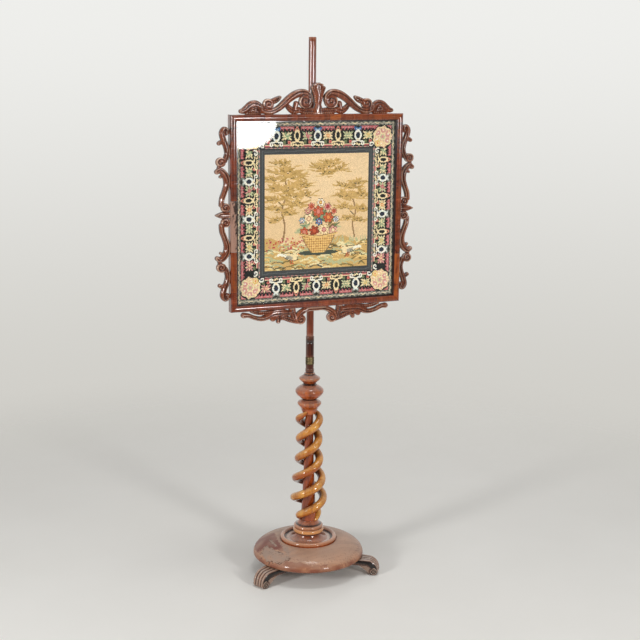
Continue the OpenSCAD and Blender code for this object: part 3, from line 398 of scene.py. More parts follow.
def foot_outline(inset):
    """Side outline of a foot: flat root, belly with a cleft above the roll, roll, knuckle and back."""
    roll = scroll_r - inset
    cleft = arc(foot_reach, scroll_z, scroll_r, scroll_r, cleft_angle, 180, 4)
    belly = smooth([(rim_in, foot_h - foot_web), (foot_reach - 1.9 * scroll_r, foot_h - foot_web - 1.2),
                    (foot_reach - 1.2 * scroll_r, foot_h - foot_web - 3.6), cleft[0] + (0.6, 1.4)], 4)
    under = arc(foot_reach, scroll_z, (roll + scroll_r) / 2, roll, 190, 360, 16)
    back = smooth([(foot_reach + roll, scroll_z + 1), (foot_reach + 0.75 * scroll_r - inset, 26.2),
                   (foot_reach - 1 - inset, knuckle_h - inset), (foot_reach - 1.2 * scroll_r, back_h - inset),
                   (rim_in, foot_h - inset)], 6)
    root = [(foot_root, foot_h), (foot_root + root_slope, foot_h - foot_web)]
    outline = root + belly + cleft + under + back + [(rim_in - 2, foot_h)]
    return np.array([(x, max(z, 0.0)) for x, z in outline])


reed_w = foot_w / foot_reeds
reed_steps = 10
slices = []
for across in np.linspace(-foot_w / 2, foot_w / 2, foot_reeds * reed_steps + 1):
    share = 2 * ((across + foot_w / 2) / reed_w % 1.0) - 1
    at_side = abs(across) > foot_w / 2 - 0.01
    groove_deep = reed_deep * (1 - math.sqrt(max(0.0, 1 - (0.97 * share) ** 2)))
    slices.append((across, groove_deep + (0.8 if at_side else 0)))
outlines = [(across, inset, foot_outline(inset)) for across, inset in slices]
foot_points = len(outlines[0][2])
foot_corners = np.array([(x, -across, z) for across, inset, line in outlines for x, z in line])
foot_faces = ring_faces(len(outlines), foot_points)
foot_faces += [tuple(range(foot_points)),
               tuple(range(len(foot_corners) - foot_points, len(foot_corners)))[::-1]]
web_side = foot_w / 2 - 2.4
web_line = [(foot_root + root_slope, foot_h - foot_web + 2), (rim_in, foot_h - foot_web + 2),
            (foot_reach - 1.1 * scroll_r, 27), (foot_reach - 0.5 * scroll_r, 20), (foot_reach, scroll_z)]
web_line += smooth([(foot_reach + scroll_r * math.cos(math.radians(215)), 4.6),
                    (foot_reach - 1.4 * scroll_r, 9.5), (foot_reach - 2.3 * scroll_r, 19),
                    (rim_in, foot_h - foot_web - 1), (foot_root + root_slope, foot_h - foot_web)], 5)
web_corners = np.array([(x, across, z) for across in (web_side, -web_side) for x, z in web_line])
web_count = len(web_line)
web_faces = [tuple(range(web_count)), tuple(range(web_count, 2 * web_count))[::-1]]
web_faces += ring_faces(2, web_count)
groove = np.repeat([inset / reed_deep for across, inset, line in outlines], foot_points)
reeded_points = 40
on_back = np.tile(np.arange(foot_points) >= foot_points - reeded_points, len(outlines))
foot_shapes = [(foot_corners, foot_faces), (web_corners, web_faces)]
volute_steps = 60
volute_turns = np.radians(np.linspace(95, -480, volute_steps))
volute_r = np.linspace(scroll_r - 2.2, 3.6, volute_steps)
for side in (-1, 1):
    coil = [(foot_reach + r * math.cos(a), side * (foot_w / 2 - 0.9), scroll_z + r * math.sin(a))
            for r, a in zip(volute_r, volute_turns)]
    foot_shapes.append(tube(coil, np.linspace(1.5, 1.0, volute_steps), 8))
    eye_rows = [(foot_reach, side * (foot_w / 2 - 1.5 + 1.8 * math.sin(t)), scroll_z)
                for t in (0, 0.5, 1.0, 1.4)]
    foot_shapes.append(tube(eye_rows, [3.2, 2.9, 1.9, 0.7], 16))
foot_corners, foot_faces = joined(*foot_shapes)
foot_corners[:, 1] *= 1 + foot_flare / foot_w * (foot_reach - foot_corners[:, 0]) / (foot_reach - rim_in)
spare = len(foot_corners) - len(groove)
# Painted shade in the reed grooves and lightly under the foot; the reed ridges are rubbed pale and carry
# painted highlights, and the volutes and web are rubbed pale
foot_marks = {
    "hollow": np.concatenate([np.where(on_back, np.clip(groove * 1.25 - 0.3, 0, 1), 0.25), np.zeros(spare)]),
    "proud": np.concatenate([np.where(on_back, np.clip(1 - 2.4 * groove, 0, 1), 0), np.full(spare, 0.8)])}
foot_wood = wood_finish("foot_wood", "#946752", "#744f3f", "#4c3428", grain_turn=(0, 90, 0), gloss=0.22,
                        coat=0.8, grime_and_shade="#140b07", dirt=1.0, worn_and_highlight="#c6aa96", wear_and_highlight=0.5, dust_and_sheen="#a08a78",
                        dust_and_sheen_amount=0.15)
for name, where in foot_places.items():
    piece("reeded_foot_" + name, foot_corners, foot_faces, foot_wood, "stand", ["foot_" + name],
          foot_marks, crease=50, turn=math.atan2(where[1], where[0]))

# The platform
# A heavy domed disc of wood, turned with a round rim and veneered in rosewood. The veneer is dull and
# dusty, with painted sheen on its upper faces and painted shade round the foot of its rim. On the left it
# has broken away in jagged pieces, edged with a painted shadow line. The column's flange sits in its crown.


def turned(profile, rounds):
    """Corners and faces of a turned shape from its radius and height, and marks on its edges and hollows."""
    profile = np.array(profile, float)
    angles = np.linspace(0, 2 * math.pi, rounds, endpoint=False)
    corners = np.stack([np.outer(profile[:, 0], np.cos(angles)), np.outer(profile[:, 0], np.sin(angles)),
                        np.outer(profile[:, 1], np.ones(rounds))], axis=-1).reshape(-1, 3)
    faces = ring_faces(len(profile), rounds)
    faces += [tuple(range(rounds))[::-1], tuple(range(len(corners) - rounds, len(corners)))]
    step = np.diff(profile, axis=0)
    length = np.maximum(np.linalg.norm(step, axis=1), 0.05)
    heading = np.unwrap(np.arctan2(step[:, 1], step[:, 0]))
    bend = np.zeros(len(profile))
    bend[1:-1] = np.diff(heading) / np.maximum((length[1:] + length[:-1]) / 2, 0.8)
    bend = np.convolve(np.pad(bend, 1, mode="edge"), (0.25, 0.5, 0.25), mode="valid")
    edge_mm = 5.0
    marks = {"proud": np.repeat(np.clip(bend * edge_mm, 0, 1), rounds),
             "hollow": np.repeat(np.clip(-bend * edge_mm, 0, 1), rounds)}
    return corners, faces, marks


def inside(u, v, outline):
    """Whether points lie inside a closed outline."""
    result = np.zeros(u.shape, bool)
    for (u0, v0), (u1, v1) in zip(outline, outline[1:] + outline[:1]):
        crosses = (v0 > v) != (v1 > v)
        result ^= crosses & (u < (u1 - u0) * (v - v0) / (v1 - v0 + 1e-12) + u0)
    return result


def waver(u, v, seed):
    """An uneven value about 0 that changes from place to place, the same each time for a seed."""
    chance = np.random.default_rng(seed)
    waves = 7
    total = sum(np.sin(chance.normal(0, 1) * u + chance.normal(0, 1) * v + chance.uniform(0, 2 * math.pi))
                for _ in range(waves))
    return total / math.sqrt(waves)


platform_r = 152.5
rim_r = 5
crown_r = 70
dome_h = 39
seat_z = 86
flange_r = 77.5
seat_r = flange_r + 2
seat_angle = math.degrees(math.acos((seat_r - crown_r) / (platform_r - crown_r)))
platform_profile = [(18, foot_h)] + arc(platform_r - rim_r, foot_h + rim_r, rim_r, rim_r, -90, 0, 8)
platform_profile += arc(crown_r, foot_h + rim_r, platform_r - crown_r, dome_h, 3, seat_angle, 62)
platform_profile += [(seat_r - 0.8, seat_z + 0.3), (seat_r - 1.2, seat_z - 0.2), (40, seat_z - 0.2)]
platform_rounds = 480
corners, faces, marks = turned(platform_profile, platform_rounds)
# Places on the dome: degrees right of the side that the photo shows, and the share of the way up to the
# column's flange
shown_side = -112.384
from_shown = (np.degrees(np.arctan2(corners[:, 1], corners[:, 0])) - shown_side + 180) % 360 - 180
up_dome = (platform_r - np.hypot(corners[:, 0], corners[:, 1])) / (platform_r - seat_r)
on_dome = corners[:, 2] > foot_h + rim_r
jag_u = from_shown + 2.2 * waver(from_shown * 0.9, up_dome * 30, 3)
jag_u += 0.8 * waver(from_shown * 3, up_dome * 80, 4)
jag_v = up_dome + 0.022 * waver(from_shown * 0.8, up_dome * 40, 5)
bare_patches = [[(-70, 0.40), (-58, 0.49), (-47, 0.44), (-38, 0.49), (-26, 0.36), (-24, 0.22), (-30, 0.09),
                 (-44, 0.04), (-60, 0.08), (-67, 0.20)],
                [(-86, 0.60), (-66, 0.64), (-54, 0.63), (-61, 0.72), (-84, 0.71)]]
veneer_patches = [[(-112, 0.05), (-70, 0.05), (-66, 0.46), (-40, 0.52), (-31, 0.57), (-40, 0.70), (-56, 0.88),
                   (-90, 0.90), (-112, 0.70)],
                  [(-27, 0.02), (14, 0.03), (20, 0.10), (2, 0.12), (-8, 0.19), (-24, 0.17)]]
pale_patches = [[(-58, 0.84), (-42, 0.92), (-30, 0.66), (-20, 0.40), (-27, 0.42), (-36, 0.60), (-47, 0.78)]]
lost = np.zeros(len(corners))
for patch in bare_patches + pale_patches:
    lost[inside(jag_u, jag_v, patch) & on_dome] = 1.0
kept = np.zeros(len(corners))
for patch, depth in zip(veneer_patches, (1.0, 0.5)):
    kept[inside(jag_u, jag_v, patch) & on_dome] = depth
kept[lost > 0] = 0
veneer_t = 0.6
marks["patch"] = 0.95 * kept * np.clip(0.85 + 0.25 * waver(from_shown * 0.2, up_dome * 6, 8), 0, 1)
marks["bare"] = 0.85 * lost * np.clip(0.8 + 0.25 * waver(from_shown * 0.5, up_dome * 12, 9), 0, 1)
scratch = np.abs(waver(from_shown * 0.45, up_dome * 14, 11)) < 0.035
# Painted shadow: a dark line along one side of each break in the veneer
break_edge = np.zeros(len(corners), bool)
for patch in bare_patches:
    break_edge |= inside(jag_u, jag_v, patch) != inside(jag_u - 1.3, jag_v + 0.016, patch)
marks["hollow"] = np.maximum(marks["hollow"], 0.8 * (scratch & (lost > 0)))
marks["hollow"] = np.maximum(marks["hollow"], 0.75 * (break_edge & on_dome))
rim_rub = np.clip(1 - np.abs(up_dome - 0.012) / 0.03, 0, 1) * on_dome
marks["proud"] = np.clip(marks["proud"] * 0.4 + 0.1 * rim_rub, 0, 1)
fleck = waver(from_shown * 1.6, up_dome * 45, 12) > 1.5 - 0.9 * np.clip(1 - up_dome / 0.5, 0, 1)
marks["patch"] = np.maximum(marks["patch"], 0.4 * (fleck & on_dome & (lost == 0)))
# Painted shade over the rim's lower band, stronger in places
low_rim = np.clip(1 - up_dome / 0.05, 0, 1) * (lost == 0)
low_rim_shade = np.clip(0.5 + 0.35 * waver(from_shown * 0.2, up_dome * 9, 15), 0, 0.8)
marks["patch"] = np.maximum(marks["patch"], low_rim * low_rim_shade)
# Painted shade under the rim
marks["hollow"] = np.maximum(marks["hollow"], 0.8 * (corners[:, 2] < foot_h + 0.6 * rim_r))
outward = np.stack([corners[:, 0] / platform_r, corners[:, 1] / platform_r, np.full(len(corners), 0.8)],
                   axis=-1)
corners = corners - (lost * veneer_t)[:, None] * outward
platform_wood = wood_finish("platform_wood", "#c4906e", "#b07c5c", "#8c5c44", grain_turn=(0, 90, 20),
                            fineness=0.6, gloss=0.32, coat=0.35, patch="#74382a", bare="#a08a7c",
                            grime_and_shade="#50362a", worn_and_highlight="#c4aa98", wear_and_highlight=0.3, dust_and_sheen="#b89f8c", dust_and_sheen_amount=0.5)
piece("domed_platform", corners, faces, platform_wood, "stand", ["base_platform"], marks,
      crease=40)

# The screws under the platform
# Six iron wood screws, two up through each foot, hold the feet. One long iron bolt with a washer draws
# the column down from below. All are dark with age.


def metal_finish(name, bright, dull, stain, roughness, stain_share):
    """A metal with a dulled surface, stains and fine pits."""
    material, tree, shader = new_finish(name, {"Metallic": 1.0})
    spot = place(tree, "TexCoord").outputs["Object"]
    cloud = noise(tree, spot, 120.0, 6.0, Roughness=0.6)
    spots = noise(tree, spot, 700.0, 3.0)
    colour = mixed(tree, between(tree, cloud, 0.35, 0.65), paint(bright), paint(dull))
    stained = between(tree, reckon(tree, "MULTIPLY_ADD", spots, 0.5, cloud), 0.72, 0.95, 0.0, stain_share)
    tree.links.new(mixed(tree, stained, colour, paint(stain)), shader.inputs["Base Color"])
    tree.links.new(reckon(tree, "MULTIPLY_ADD", cloud, 0.25, roughness - 0.1), shader.inputs["Roughness"])
    roughen(tree, shader, spots, 0.25, 0.1)
    return material


def dressed(node, material):
    """A CAD node that keeps its shape and gets a finish."""
    for held in frame["nodes"][node].material_slots:
        held.material = material


def eased(name, node, width, material, body):
    """A copy of a CAD node whose sharp edges are rounded over by a width in millimetres."""
    form = bmesh.new()
    form.from_mesh(frame["nodes"][node].data)
    bmesh.ops.remove_doubles(form, verts=form.verts, dist=1e-6)
    bmesh.ops.dissolve_limit(form, angle_limit=math.radians(0.3), verts=form.verts, edges=form.edges)
    sharp = [edge for edge in form.edges if edge.is_manifold and edge.calc_face_angle(0.0) > math.radians(35)]
    bmesh.ops.bevel(form, geom=sharp, offset=width * mm, segments=2, profile=0.6, affect="EDGES",
                    clamp_overlap=True)
    mesh = bpy.data.meshes.new(name)
    form.to_mesh(mesh)
    form.free()
    fitted(name, mesh, material, body, [node], crease=40)


iron = metal_finish("oxidised_iron", "#4a4642", "#2f2b28", "#5a3a26", 0.55, stain_share=0.7)
for node in ("foot_screws", "column_screw", "column_washer"):
    dressed(node, iron)

# The column's base
# One turned block: a ring moulding round a shallow dish, a concave boss, an orange torus, a bead and the
# cone that the twist springs from. French polished, dull and dusty where it lies flat, with painted sheen
# there too.


def bulb(z, low, high, foot, out, top, steps=9):
    """Profile of a turned bulb: a quarter round out to its widest place and one back in."""
    turns = np.linspace(0, math.pi / 2, steps)
    rise = [(foot + (out - foot) * math.sin(t), z + low * (1 - math.cos(t))) for t in turns]
    return rise + [(top + (out - top) * math.cos(t), z + low + high * math.sin(t)) for t in turns[1:]]


ring_h = 12
ring_w = 11.5
dish_t = 4
boss_r = 56
boss_h = 18
base_neck_r = 35
neck_z = seat_z + dish_t + boss_h
torus_h = 13
torus_r = 42.3
bead_z = neck_z + torus_h
bead_h = 10
bead_r = 40.4
cone_z = bead_z + bead_h
cone_r = 34
cone_top_r = 25
twist_z = 143
ring_mid = flange_r - ring_w / 2
base_profile = [(20, seat_z), (flange_r - 0.6, seat_z)]
base_profile += arc(ring_mid, seat_z + ring_h / 2, ring_w / 2, ring_h / 2, -20, 172, 20)
base_profile += [(flange_r - ring_w - 0.3, seat_z + dish_t + 0.4), (flange_r - ring_w - 1.4, seat_z + dish_t)]
base_profile += [(boss_r + 3, seat_z + dish_t + 0.1)]
base_profile += arc(boss_r, seat_z + dish_t + boss_h, boss_r - base_neck_r, boss_h, 270, 180, 16)
base_profile += bulb(neck_z, torus_h / 2, torus_h / 2, base_neck_r, torus_r, bead_r - 3)[1:]
base_profile += bulb(bead_z, bead_h / 2, bead_h / 2, bead_r - 3, bead_r, cone_r)[1:]
base_profile += [(cone_r - 0.7, cone_z + 0.8), (cone_top_r + 4, cone_z + 5.5), (cone_top_r + 1, cone_z + 10)]
base_profile += [(cone_top_r, twist_z), (12, twist_z)]
corners, faces, marks = turned(base_profile, 128)
radius, height = np.hypot(corners[:, 0], corners[:, 1]), corners[:, 2]
on_torus = np.clip(1 - np.abs(height - neck_z - torus_h / 2) / (torus_h / 2), 0, 1) ** 0.5
marks["patch"] = 0.85 * (on_torus * (radius > base_neck_r))
on_dish = (radius > boss_r - 3) & (radius < flange_r - ring_w)
dish_tone = np.clip(0.9 + 0.3 * waver(corners[:, 0] * 0.1, corners[:, 1] * 0.1, 21), 0, 1)
marks["bare"] = 0.9 * on_dish * dish_tone
column_wood = wood_finish("column_base_wood", "#c06c3c", "#a65228", "#743416", gloss=0.14, coat=0.9,
                          patch="#e0984a", bare="#d8c0b0", grime_and_shade="#261008", dirt=0.9, worn_and_highlight="#d8a47c",
                          wear_and_highlight=0.35, dust_and_sheen="#c2a490", dust_and_sheen_amount=0.35)
piece("turned_column_base", corners, faces, column_wood, "stand", ["column_base"], marks,
      crease=60)

# The core pillar
# A slim tapering pillar inside the twist, turned and polished red-brown. A tenon at each end is glued
# into the column's base and top, out of sight.
twist_h = 305
cap_z = twist_z + twist_h
core_foot_r = 21.5
core_head_r = 10.8
core_profile = [(core_head_r + (core_foot_r - core_head_r) * (1 - share) ** 1.6, twist_z + twist_h * share)
                for share in np.linspace(0, 1, 40)]
corners, faces, marks = turned(core_profile, 64)
marks["hollow"] = 0.35 + 0.3 * waver(corners[:, 2] * 0.05, np.arctan2(corners[:, 1], corners[:, 0]) * 2, 31)
core_wood = wood_finish("core_wood", "#c8632c", "#ac4c1c", "#803410", gloss=0.14, coat=0.9,
                        grime_and_shade="#3a190c", dirt=0.5, worn_and_highlight="#c07a48", wear_and_highlight=0.2, dust_and_sheen_amount=0.05)
piece("tapered_core", corners, faces, core_wood, "stand", ["core_pillar"], marks)

# The two twist strands
# Two round strands wind up round the core, far out at the belly and close in above. They are carved from
# honey-coloured wood, glossy on the crests, with painted highlights on their upper outer sides and painted
# shade below and towards the core, and glued in at both ends.
strand_r = 11.2
strand_let_in = 7
strand_end_share = 0.35
strand_taper = 30
twist_pitch = 113
twist_phase = 113
twist_slim_r = 26
twist_belly_r = 40.2
# Share of the way up the twist, and how far out the strands stand there, from 0 (slim) to 1 (belly)
belly_rows = [(-0.03, -0.6), (0.02, -0.25), (0.075, 0.42), (0.15, 0.84), (0.235, 1), (0.32, 0.87),
              (0.42, 0.62), (0.52, 0.33), (0.62, 0.12), (0.8, 0), (0.9, 0.06), (0.96, 0.1), (1, -0.2),
              (1.03, -0.6)]
belly = np.array(smooth(belly_rows, 6))
strand_rings = 260
strand_sides = 22
strand_span = twist_h + 2 * strand_let_in
climb = np.linspace(0, strand_span, strand_rings)
mid_r = twist_slim_r + (twist_belly_r - twist_slim_r) * np.interp((climb - strand_let_in) / twist_h, *belly.T)
to_end = np.minimum(climb, strand_span - climb)
fullness = np.sin(math.pi / 2 * np.minimum(1, to_end / strand_taper))
thick = strand_r * (strand_end_share + (1 - strand_end_share) * fullness)
strand_wood = wood_finish("strand_wood", "#eaac50", "#d08530", "#9a501a", gloss=0.12, coat=0.95,
                          fineness=0.8, patch="#a04c16", grime_and_shade="#4a1e0c", worn_and_highlight="#f2c884", wear_and_highlight=0.4,
                          dust_and_sheen="#b09678", dust_and_sheen_amount=0.1)
for number, phase in ((1, twist_phase), (2, twist_phase + 180)):
    angle = np.radians(phase) + 2 * math.pi * climb / twist_pitch
    path = np.stack([mid_r * np.cos(angle), mid_r * np.sin(angle), twist_z - strand_let_in + climb], axis=-1)
    corners, faces = tube(path, thick, strand_sides)
    middle = np.repeat(path, strand_sides, axis=0)
    out = (corners - middle) / np.repeat(thick, strand_sides)[:, None]
    radial = np.stack([np.cos(angle), np.sin(angle)], axis=-1).repeat(strand_sides, axis=0)
    outward = (out[:, :2] * radial).sum(axis=1)
    streak = waver(np.repeat(climb, strand_sides) * 0.04, outward * 2.4, 40 + number)
    # Painted highlight on the upper outer side, painted shade below and on the side towards the core, and the
    # darker patch colour in grain streaks and as painted shade on the underside
    marks = {"proud": np.clip(0.6 * outward + 0.7 * out[:, 2] - 0.35, 0, 1),
             "hollow": np.clip(np.maximum(-outward, -out[:, 2] - 0.45) * 0.9 + 0.05, 0, 1),
             "patch": np.clip(0.6 * streak - 1.0 * out[:, 2] + 0.2, 0, 0.95)}
    piece("honey_strand_%d" % number, corners, faces, strand_wood, "stand",
          ["twist_strand_%d" % number], marks, crease=70)

# The column's top
# Turned with a cone and three bold rings between narrow necks, and bored for the pole. The middle ring is
# a full round and the others have hollow flanks. Red-brown french polish, with dust and painted sheen on the
# upper sides.
neck_r = 17
top_neck_r = 14.4
# Each ring: its foot's height, the rise to its nose and on to its top, its radii at foot, nose and top,
# and the powers of its lower and upper flank
ring_rows = [(460, 18.5, 10.5, 22.8, 33, neck_r, 1.7, 0.9),
             (489, 23.5, 18.5, neck_r, 39, neck_r, 0.75, 0.95),
             (531, 16, 15, neck_r, 29, top_neck_r, 2.0, 2.8)]
column_top_z = 562
ring_steps = 14


def ogee(z, low, high, foot, out, top, under_power, over_power):
    """Profile of a ring, out from a neck to a rounded nose and back in. A low power makes a flank full."""
    climb = [math.radians(90 * step / ring_steps) for step in range(ring_steps + 1)]
    under = [(foot + (out - foot) * math.sin(a) ** under_power, z + low * k / ring_steps)
             for k, a in enumerate(climb)]
    over = [(top + (out - top) * max(0.0, math.cos(a)) ** over_power, z + low + high * k / ring_steps)
            for k, a in enumerate(climb)]
    return under + over[1:]


top_profile = [(12, cap_z), (18, cap_z), (19.5, cap_z + 4), (22.4, cap_z + 11)]
for row in ring_rows:
    top_profile += ogee(*row)[1:]
top_profile += [(top_neck_r - 0.5, column_top_z), (9, column_top_z)]
corners, faces, marks = turned(top_profile, 112)
top_wood = wood_finish("column_top_wood", "#cc6a2c", "#ac4e1a", "#742e0c", gloss=0.1, coat=1.0,
                       grime_and_shade="#1e0d08", dirt=0.9, worn_and_highlight="#d09a70", wear_and_highlight=0.3, dust_and_sheen="#b09684", dust_and_sheen_amount=0.4)
piece("ringed_column_top", corners, faces, top_wood, "stand", ["column_top"], marks, crease=60)

# The pole
# Two lengths of turned rosewood joined by a tenon and a peg. The lower one is thicker and darker, with two
# beads, a dull brass ferrule and a scribed line, and the upper one carries the screen.
pole_top = 1450
pole_r = 10
lower_r = 11.2
shoulder_z = 664
pole_bead_h = 4.5
ferrule_z = 586
ferrule_h = 20
ferrule_wall = 1.2
scribe_z = shoulder_z - 17
scribe_w = 1.2
lower_profile = [(5, column_top_z), (lower_r, column_top_z)]
for bead in (column_top_z + 3, column_top_z + 3 + pole_bead_h):
    lower_profile += bulb(bead, pole_bead_h / 2, pole_bead_h / 2, lower_r - 0.3, lower_r + 1,
                          lower_r - 0.3, 6)
ferrule_top = ferrule_z + ferrule_h
lower_profile += [(lower_r, ferrule_z - 0.5), (lower_r - ferrule_wall, ferrule_z - 0.3)]
lower_profile += [(lower_r - ferrule_wall, ferrule_top + 0.3), (lower_r, ferrule_top + 0.5)]
lower_profile += [(lower_r, z) for z in np.linspace(ferrule_top + 4, scribe_z - scribe_w, 8)]
lower_profile += [(lower_r - 0.6, scribe_z), (lower_r, scribe_z + scribe_w), (lower_r, shoulder_z - 1.5)]
lower_profile += [(lower_r - 0.4, shoulder_z - 0.4), (lower_r - 1.2, shoulder_z), (6, shoulder_z)]
corners, faces, marks = turned(lower_profile, 64)
lower_wood = wood_finish("pole_lower_wood", "#7c4028", "#56281a", "#32150e", gloss=0.14, coat=0.95,
                         grime_and_shade="#150a07", worn_and_highlight="#8a5a44", wear_and_highlight=0.3, dust_and_sheen_amount=0.05)
piece("thick_pole_length", corners, faces, lower_wood, "stand", ["pole_lower"], marks, crease=45)

ferrule_beads = 3
ferrule_profile = []
for bead in range(ferrule_beads):
    one = ferrule_h / ferrule_beads
    ferrule_profile += bulb(ferrule_z + bead * one, one / 2, one / 2, lower_r - 0.1, lower_r + 0.6,
                            lower_r - 0.1, 7)
inner_r = lower_r - ferrule_wall + 0.1
ferrule_profile = [(inner_r, ferrule_z)] + ferrule_profile + [(inner_r, ferrule_top)]
rounds = 64
corners, faces, marks = turned(ferrule_profile, rounds)
last = len(corners) - rounds
faces = faces[:-2] + [(s, (s + 1) % rounds, last + (s + 1) % rounds, last + s) for s in range(rounds)]
old_brass = metal_finish("old_brass", "#8c7c58", "#5e523c", "#2c2820", 0.42, stain_share=0.75)
piece("beaded_ferrule", corners, faces, old_brass, "stand", ["pole_ferrule"], marks, crease=50)

tenon_r = 5.9
tenon_len = 39.5
upper_profile = [(tenon_r, shoulder_z - tenon_len), (tenon_r, shoulder_z), (pole_r - 0.6, shoulder_z),
                 (pole_r, shoulder_z + 0.6)]
upper_profile += [(pole_r, z) for z in np.linspace(shoulder_z + 12, pole_top - 12, 64)]
upper_profile += [(pole_r, pole_top - 1.2), (pole_r - 0.4, pole_top - 0.4), (pole_r - 1.2, pole_top)]
corners, faces, marks = turned(upper_profile, 64)
upper_wood = wood_finish("pole_upper_wood", "#b4684a", "#8c452c", "#562414", gloss=0.12, coat=1.0,
                         fineness=1.4, grime_and_shade="#2a110a", worn_and_highlight="#c48a6c", wear_and_highlight=0.3, dust_and_sheen_amount=0.05)
piece("slim_pole_length", corners, faces, upper_wood, "stand", ["pole_upper"], marks, crease=45)

pine = wood_finish("aged_pine", "#c9a878", "#b48f5e", "#94703f", gloss=0.6, coat=0.0, fineness=0.7,
                   grime_and_shade="#6a4e30", dirt=0.4, worn_and_highlight="#d6bd95", wear_and_highlight=0.3, dust_and_sheen="#b3a28c", dust_and_sheen_amount=0.2, relief=0.5)
dressed("pole_peg", pine)

# The fittings on the pole
# A slit brass bush slides on the pole inside the screen's upper eye, between its flange and a ring. Two
# cast brass brackets are screwed to the frame's back, and a thumbscrew in the upper one sets the height.
brass = metal_finish("dulled_brass", "#b8944e", "#8f7038", "#4a3a20", 0.32, stain_share=0.5)
eased("slit_bush", "slide_bush", 0.4, brass, "slide")
eased("bush_collar", "bush_ring", 0.4, brass, "slide")
for node in ("upper_bracket", "lower_bracket"):
    eased("cast_" + node, node, 0.6, brass, "screen")
eased("slotted_bracket_screws", "bracket_screws", 0.2, brass, "screen")
eased("round_thumbscrew", "thumbscrew", 0.7, brass, "thumbscrew")

# The frame
# Four mitred lengths with a half-round front, cross-banded in polished rosewood veneer. The pieces of veneer
# differ in tone and meet in fine lines, and on the left a length of it is lost and the bare ground shows.
panel_w = 480
panel_h = 504
panel_mid = 1005
back_y = -29
sight_y = -47
glass_y = -45
rail_w = 20
round_w = 17
round_h = 8
land_w = 14
ease = 0.7
rail_section = [(ease, back_y), (0, back_y - ease), (0, sight_y + 3)]
rail_section += arc(round_w / 2, sight_y, round_w / 2, round_h, 180, 360, 22)
rail_section += [(round_w + 0.3, sight_y), (rail_w - 0.5, sight_y), (rail_w, sight_y + 0.5),
                 (rail_w, glass_y), (land_w, glass_y), (land_w, back_y - ease), (land_w - ease, back_y)]
rail_section = np.array(rail_section)
seam_w = 0.35
# For each length: its node, the way along it and in from its edge, its length and the frame's size across
# it, where its veneers meet (from the middle), their tones from dark to orange, and where the veneer is lost
rails = [
    ("rail_top", (1, 0), (0, -1), panel_w, panel_h,
     (-150, -42, 28, 60, 150), (-0.1, 0.1, 0.35, 0.9, 0.25, 0.4), None),
    ("rail_bottom", (1, 0), (0, 1), panel_w, panel_h,
     (-150, 0, 95, 170), (-0.1, 0.0, 0.2, 0.0, 0.25), None),
    ("stile_left", (0, 1), (1, 0), panel_h, panel_w,
     (-200, -95, 36, 80, 170), (-0.15, 0.4, 0.1, -0.3, -0.1, -0.4), (-95, 36)),
    ("stile_right", (0, 1), (-1, 0), panel_h, panel_w,
     (-205, -120, -45, 62, 150), (0.75, 0.9, 0.1, 0.3, -0.2, -0.5), None),
]
frame_veneer = {}
for grain_name, grain_turn in (("rail", (0, 0, 0)), ("stile", (0, 90, 0))):
    frame_veneer[grain_name] = wood_finish(
        "cross_banded_" + grain_name, "#9c4626", "#7c3218", "#44180c", grain_turn=grain_turn, fineness=1.3,
        gloss=0.12, coat=1.0, patch="#ae581e", bare="#a98370", grime_and_shade="#1a0a06", dirt=0.95, worn_and_highlight="#a5735a",
        wear_and_highlight=0.2, dust_and_sheen="#9a7c6c", dust_and_sheen_amount=0.08)
for node, along, inward, length, span, meets, tones, lost_part in rails:
    half = length / 2
    stops = set(np.linspace(-half + rail_w + 1, half - rail_w - 1, 140).round(2))
    for meet in meets:
        stops |= {meet - 1.0, meet - seam_w, meet, meet + seam_w, meet + 1.0}
    stops = np.array([-half] + sorted(stops) + [half])
    corners, marks = [], {"patch": [], "bare": [], "hollow": [], "proud": []}
    for number, stop in enumerate(stops):
        tone = tones[sum(stop > meet for meet in meets)]
        seam = max(0.0, 1 - min(abs(stop - meet) for meet in meets) / 0.8)
        for across, depth in rail_section:
            at = math.copysign(half - across, stop) if number in (0, len(stops) - 1) else stop
            low = (-span / 2 + across) * np.array(inward)
            x, z = at * np.array(along) + low
            on_front = depth < sight_y + 2 and across < round_w + 0.2
            bare = on_front and lost_part is not None and lost_part[0] < stop < lost_part[1]
            sunk = 0.5 if bare else 0.0
            blotch = float(waver(np.array(stop * 0.22), np.array(across * 0.5), 61))
            dirt = 0.3 + 0.5 * blotch + 0.012 * (stop + 30) + 0.09 * (across - 11)
            dirty = np.clip(dirt, 0, 0.85) if bare else 0.0
            mottle = float(waver(np.array(stop * 0.08), np.array(across * 0.25), 63))
            corners.append((x, depth + sunk + 0.12 * seam, panel_mid + z))
            marks["patch"].append(max(0.0, tone * (0.8 + 0.4 * mottle)))
            marks["bare"].append(0.9 if bare else 0.0)
            marks["hollow"].append(max(0.75 * seam, 0.9 * (across > round_w - 0.4), 0.6 * max(0.0, -tone),
                                       dirty, 0.22 * mottle))
            marks["proud"].append(0.5 * (abs(across - round_w / 2) < 2.5 and depth < sight_y - 6))
    sides = len(rail_section)
    faces = ring_faces(len(stops), sides)
    faces += [tuple(range(sides)), tuple(range(len(corners) - sides, len(corners)))[::-1]]
    piece("veneered_" + node, corners, faces, frame_veneer[node.split("_")[0]], "screen",
          [node], marks, crease=40)

# The glass
# A pane of old clear glass, a little wavy, with its sharp edges taken off. It lies in the frame's rebate,
# held there by the fillets and boards behind it.
pane_w = 451
pane_h = 475
glass_t = 2.5
pane_edge = 0.5


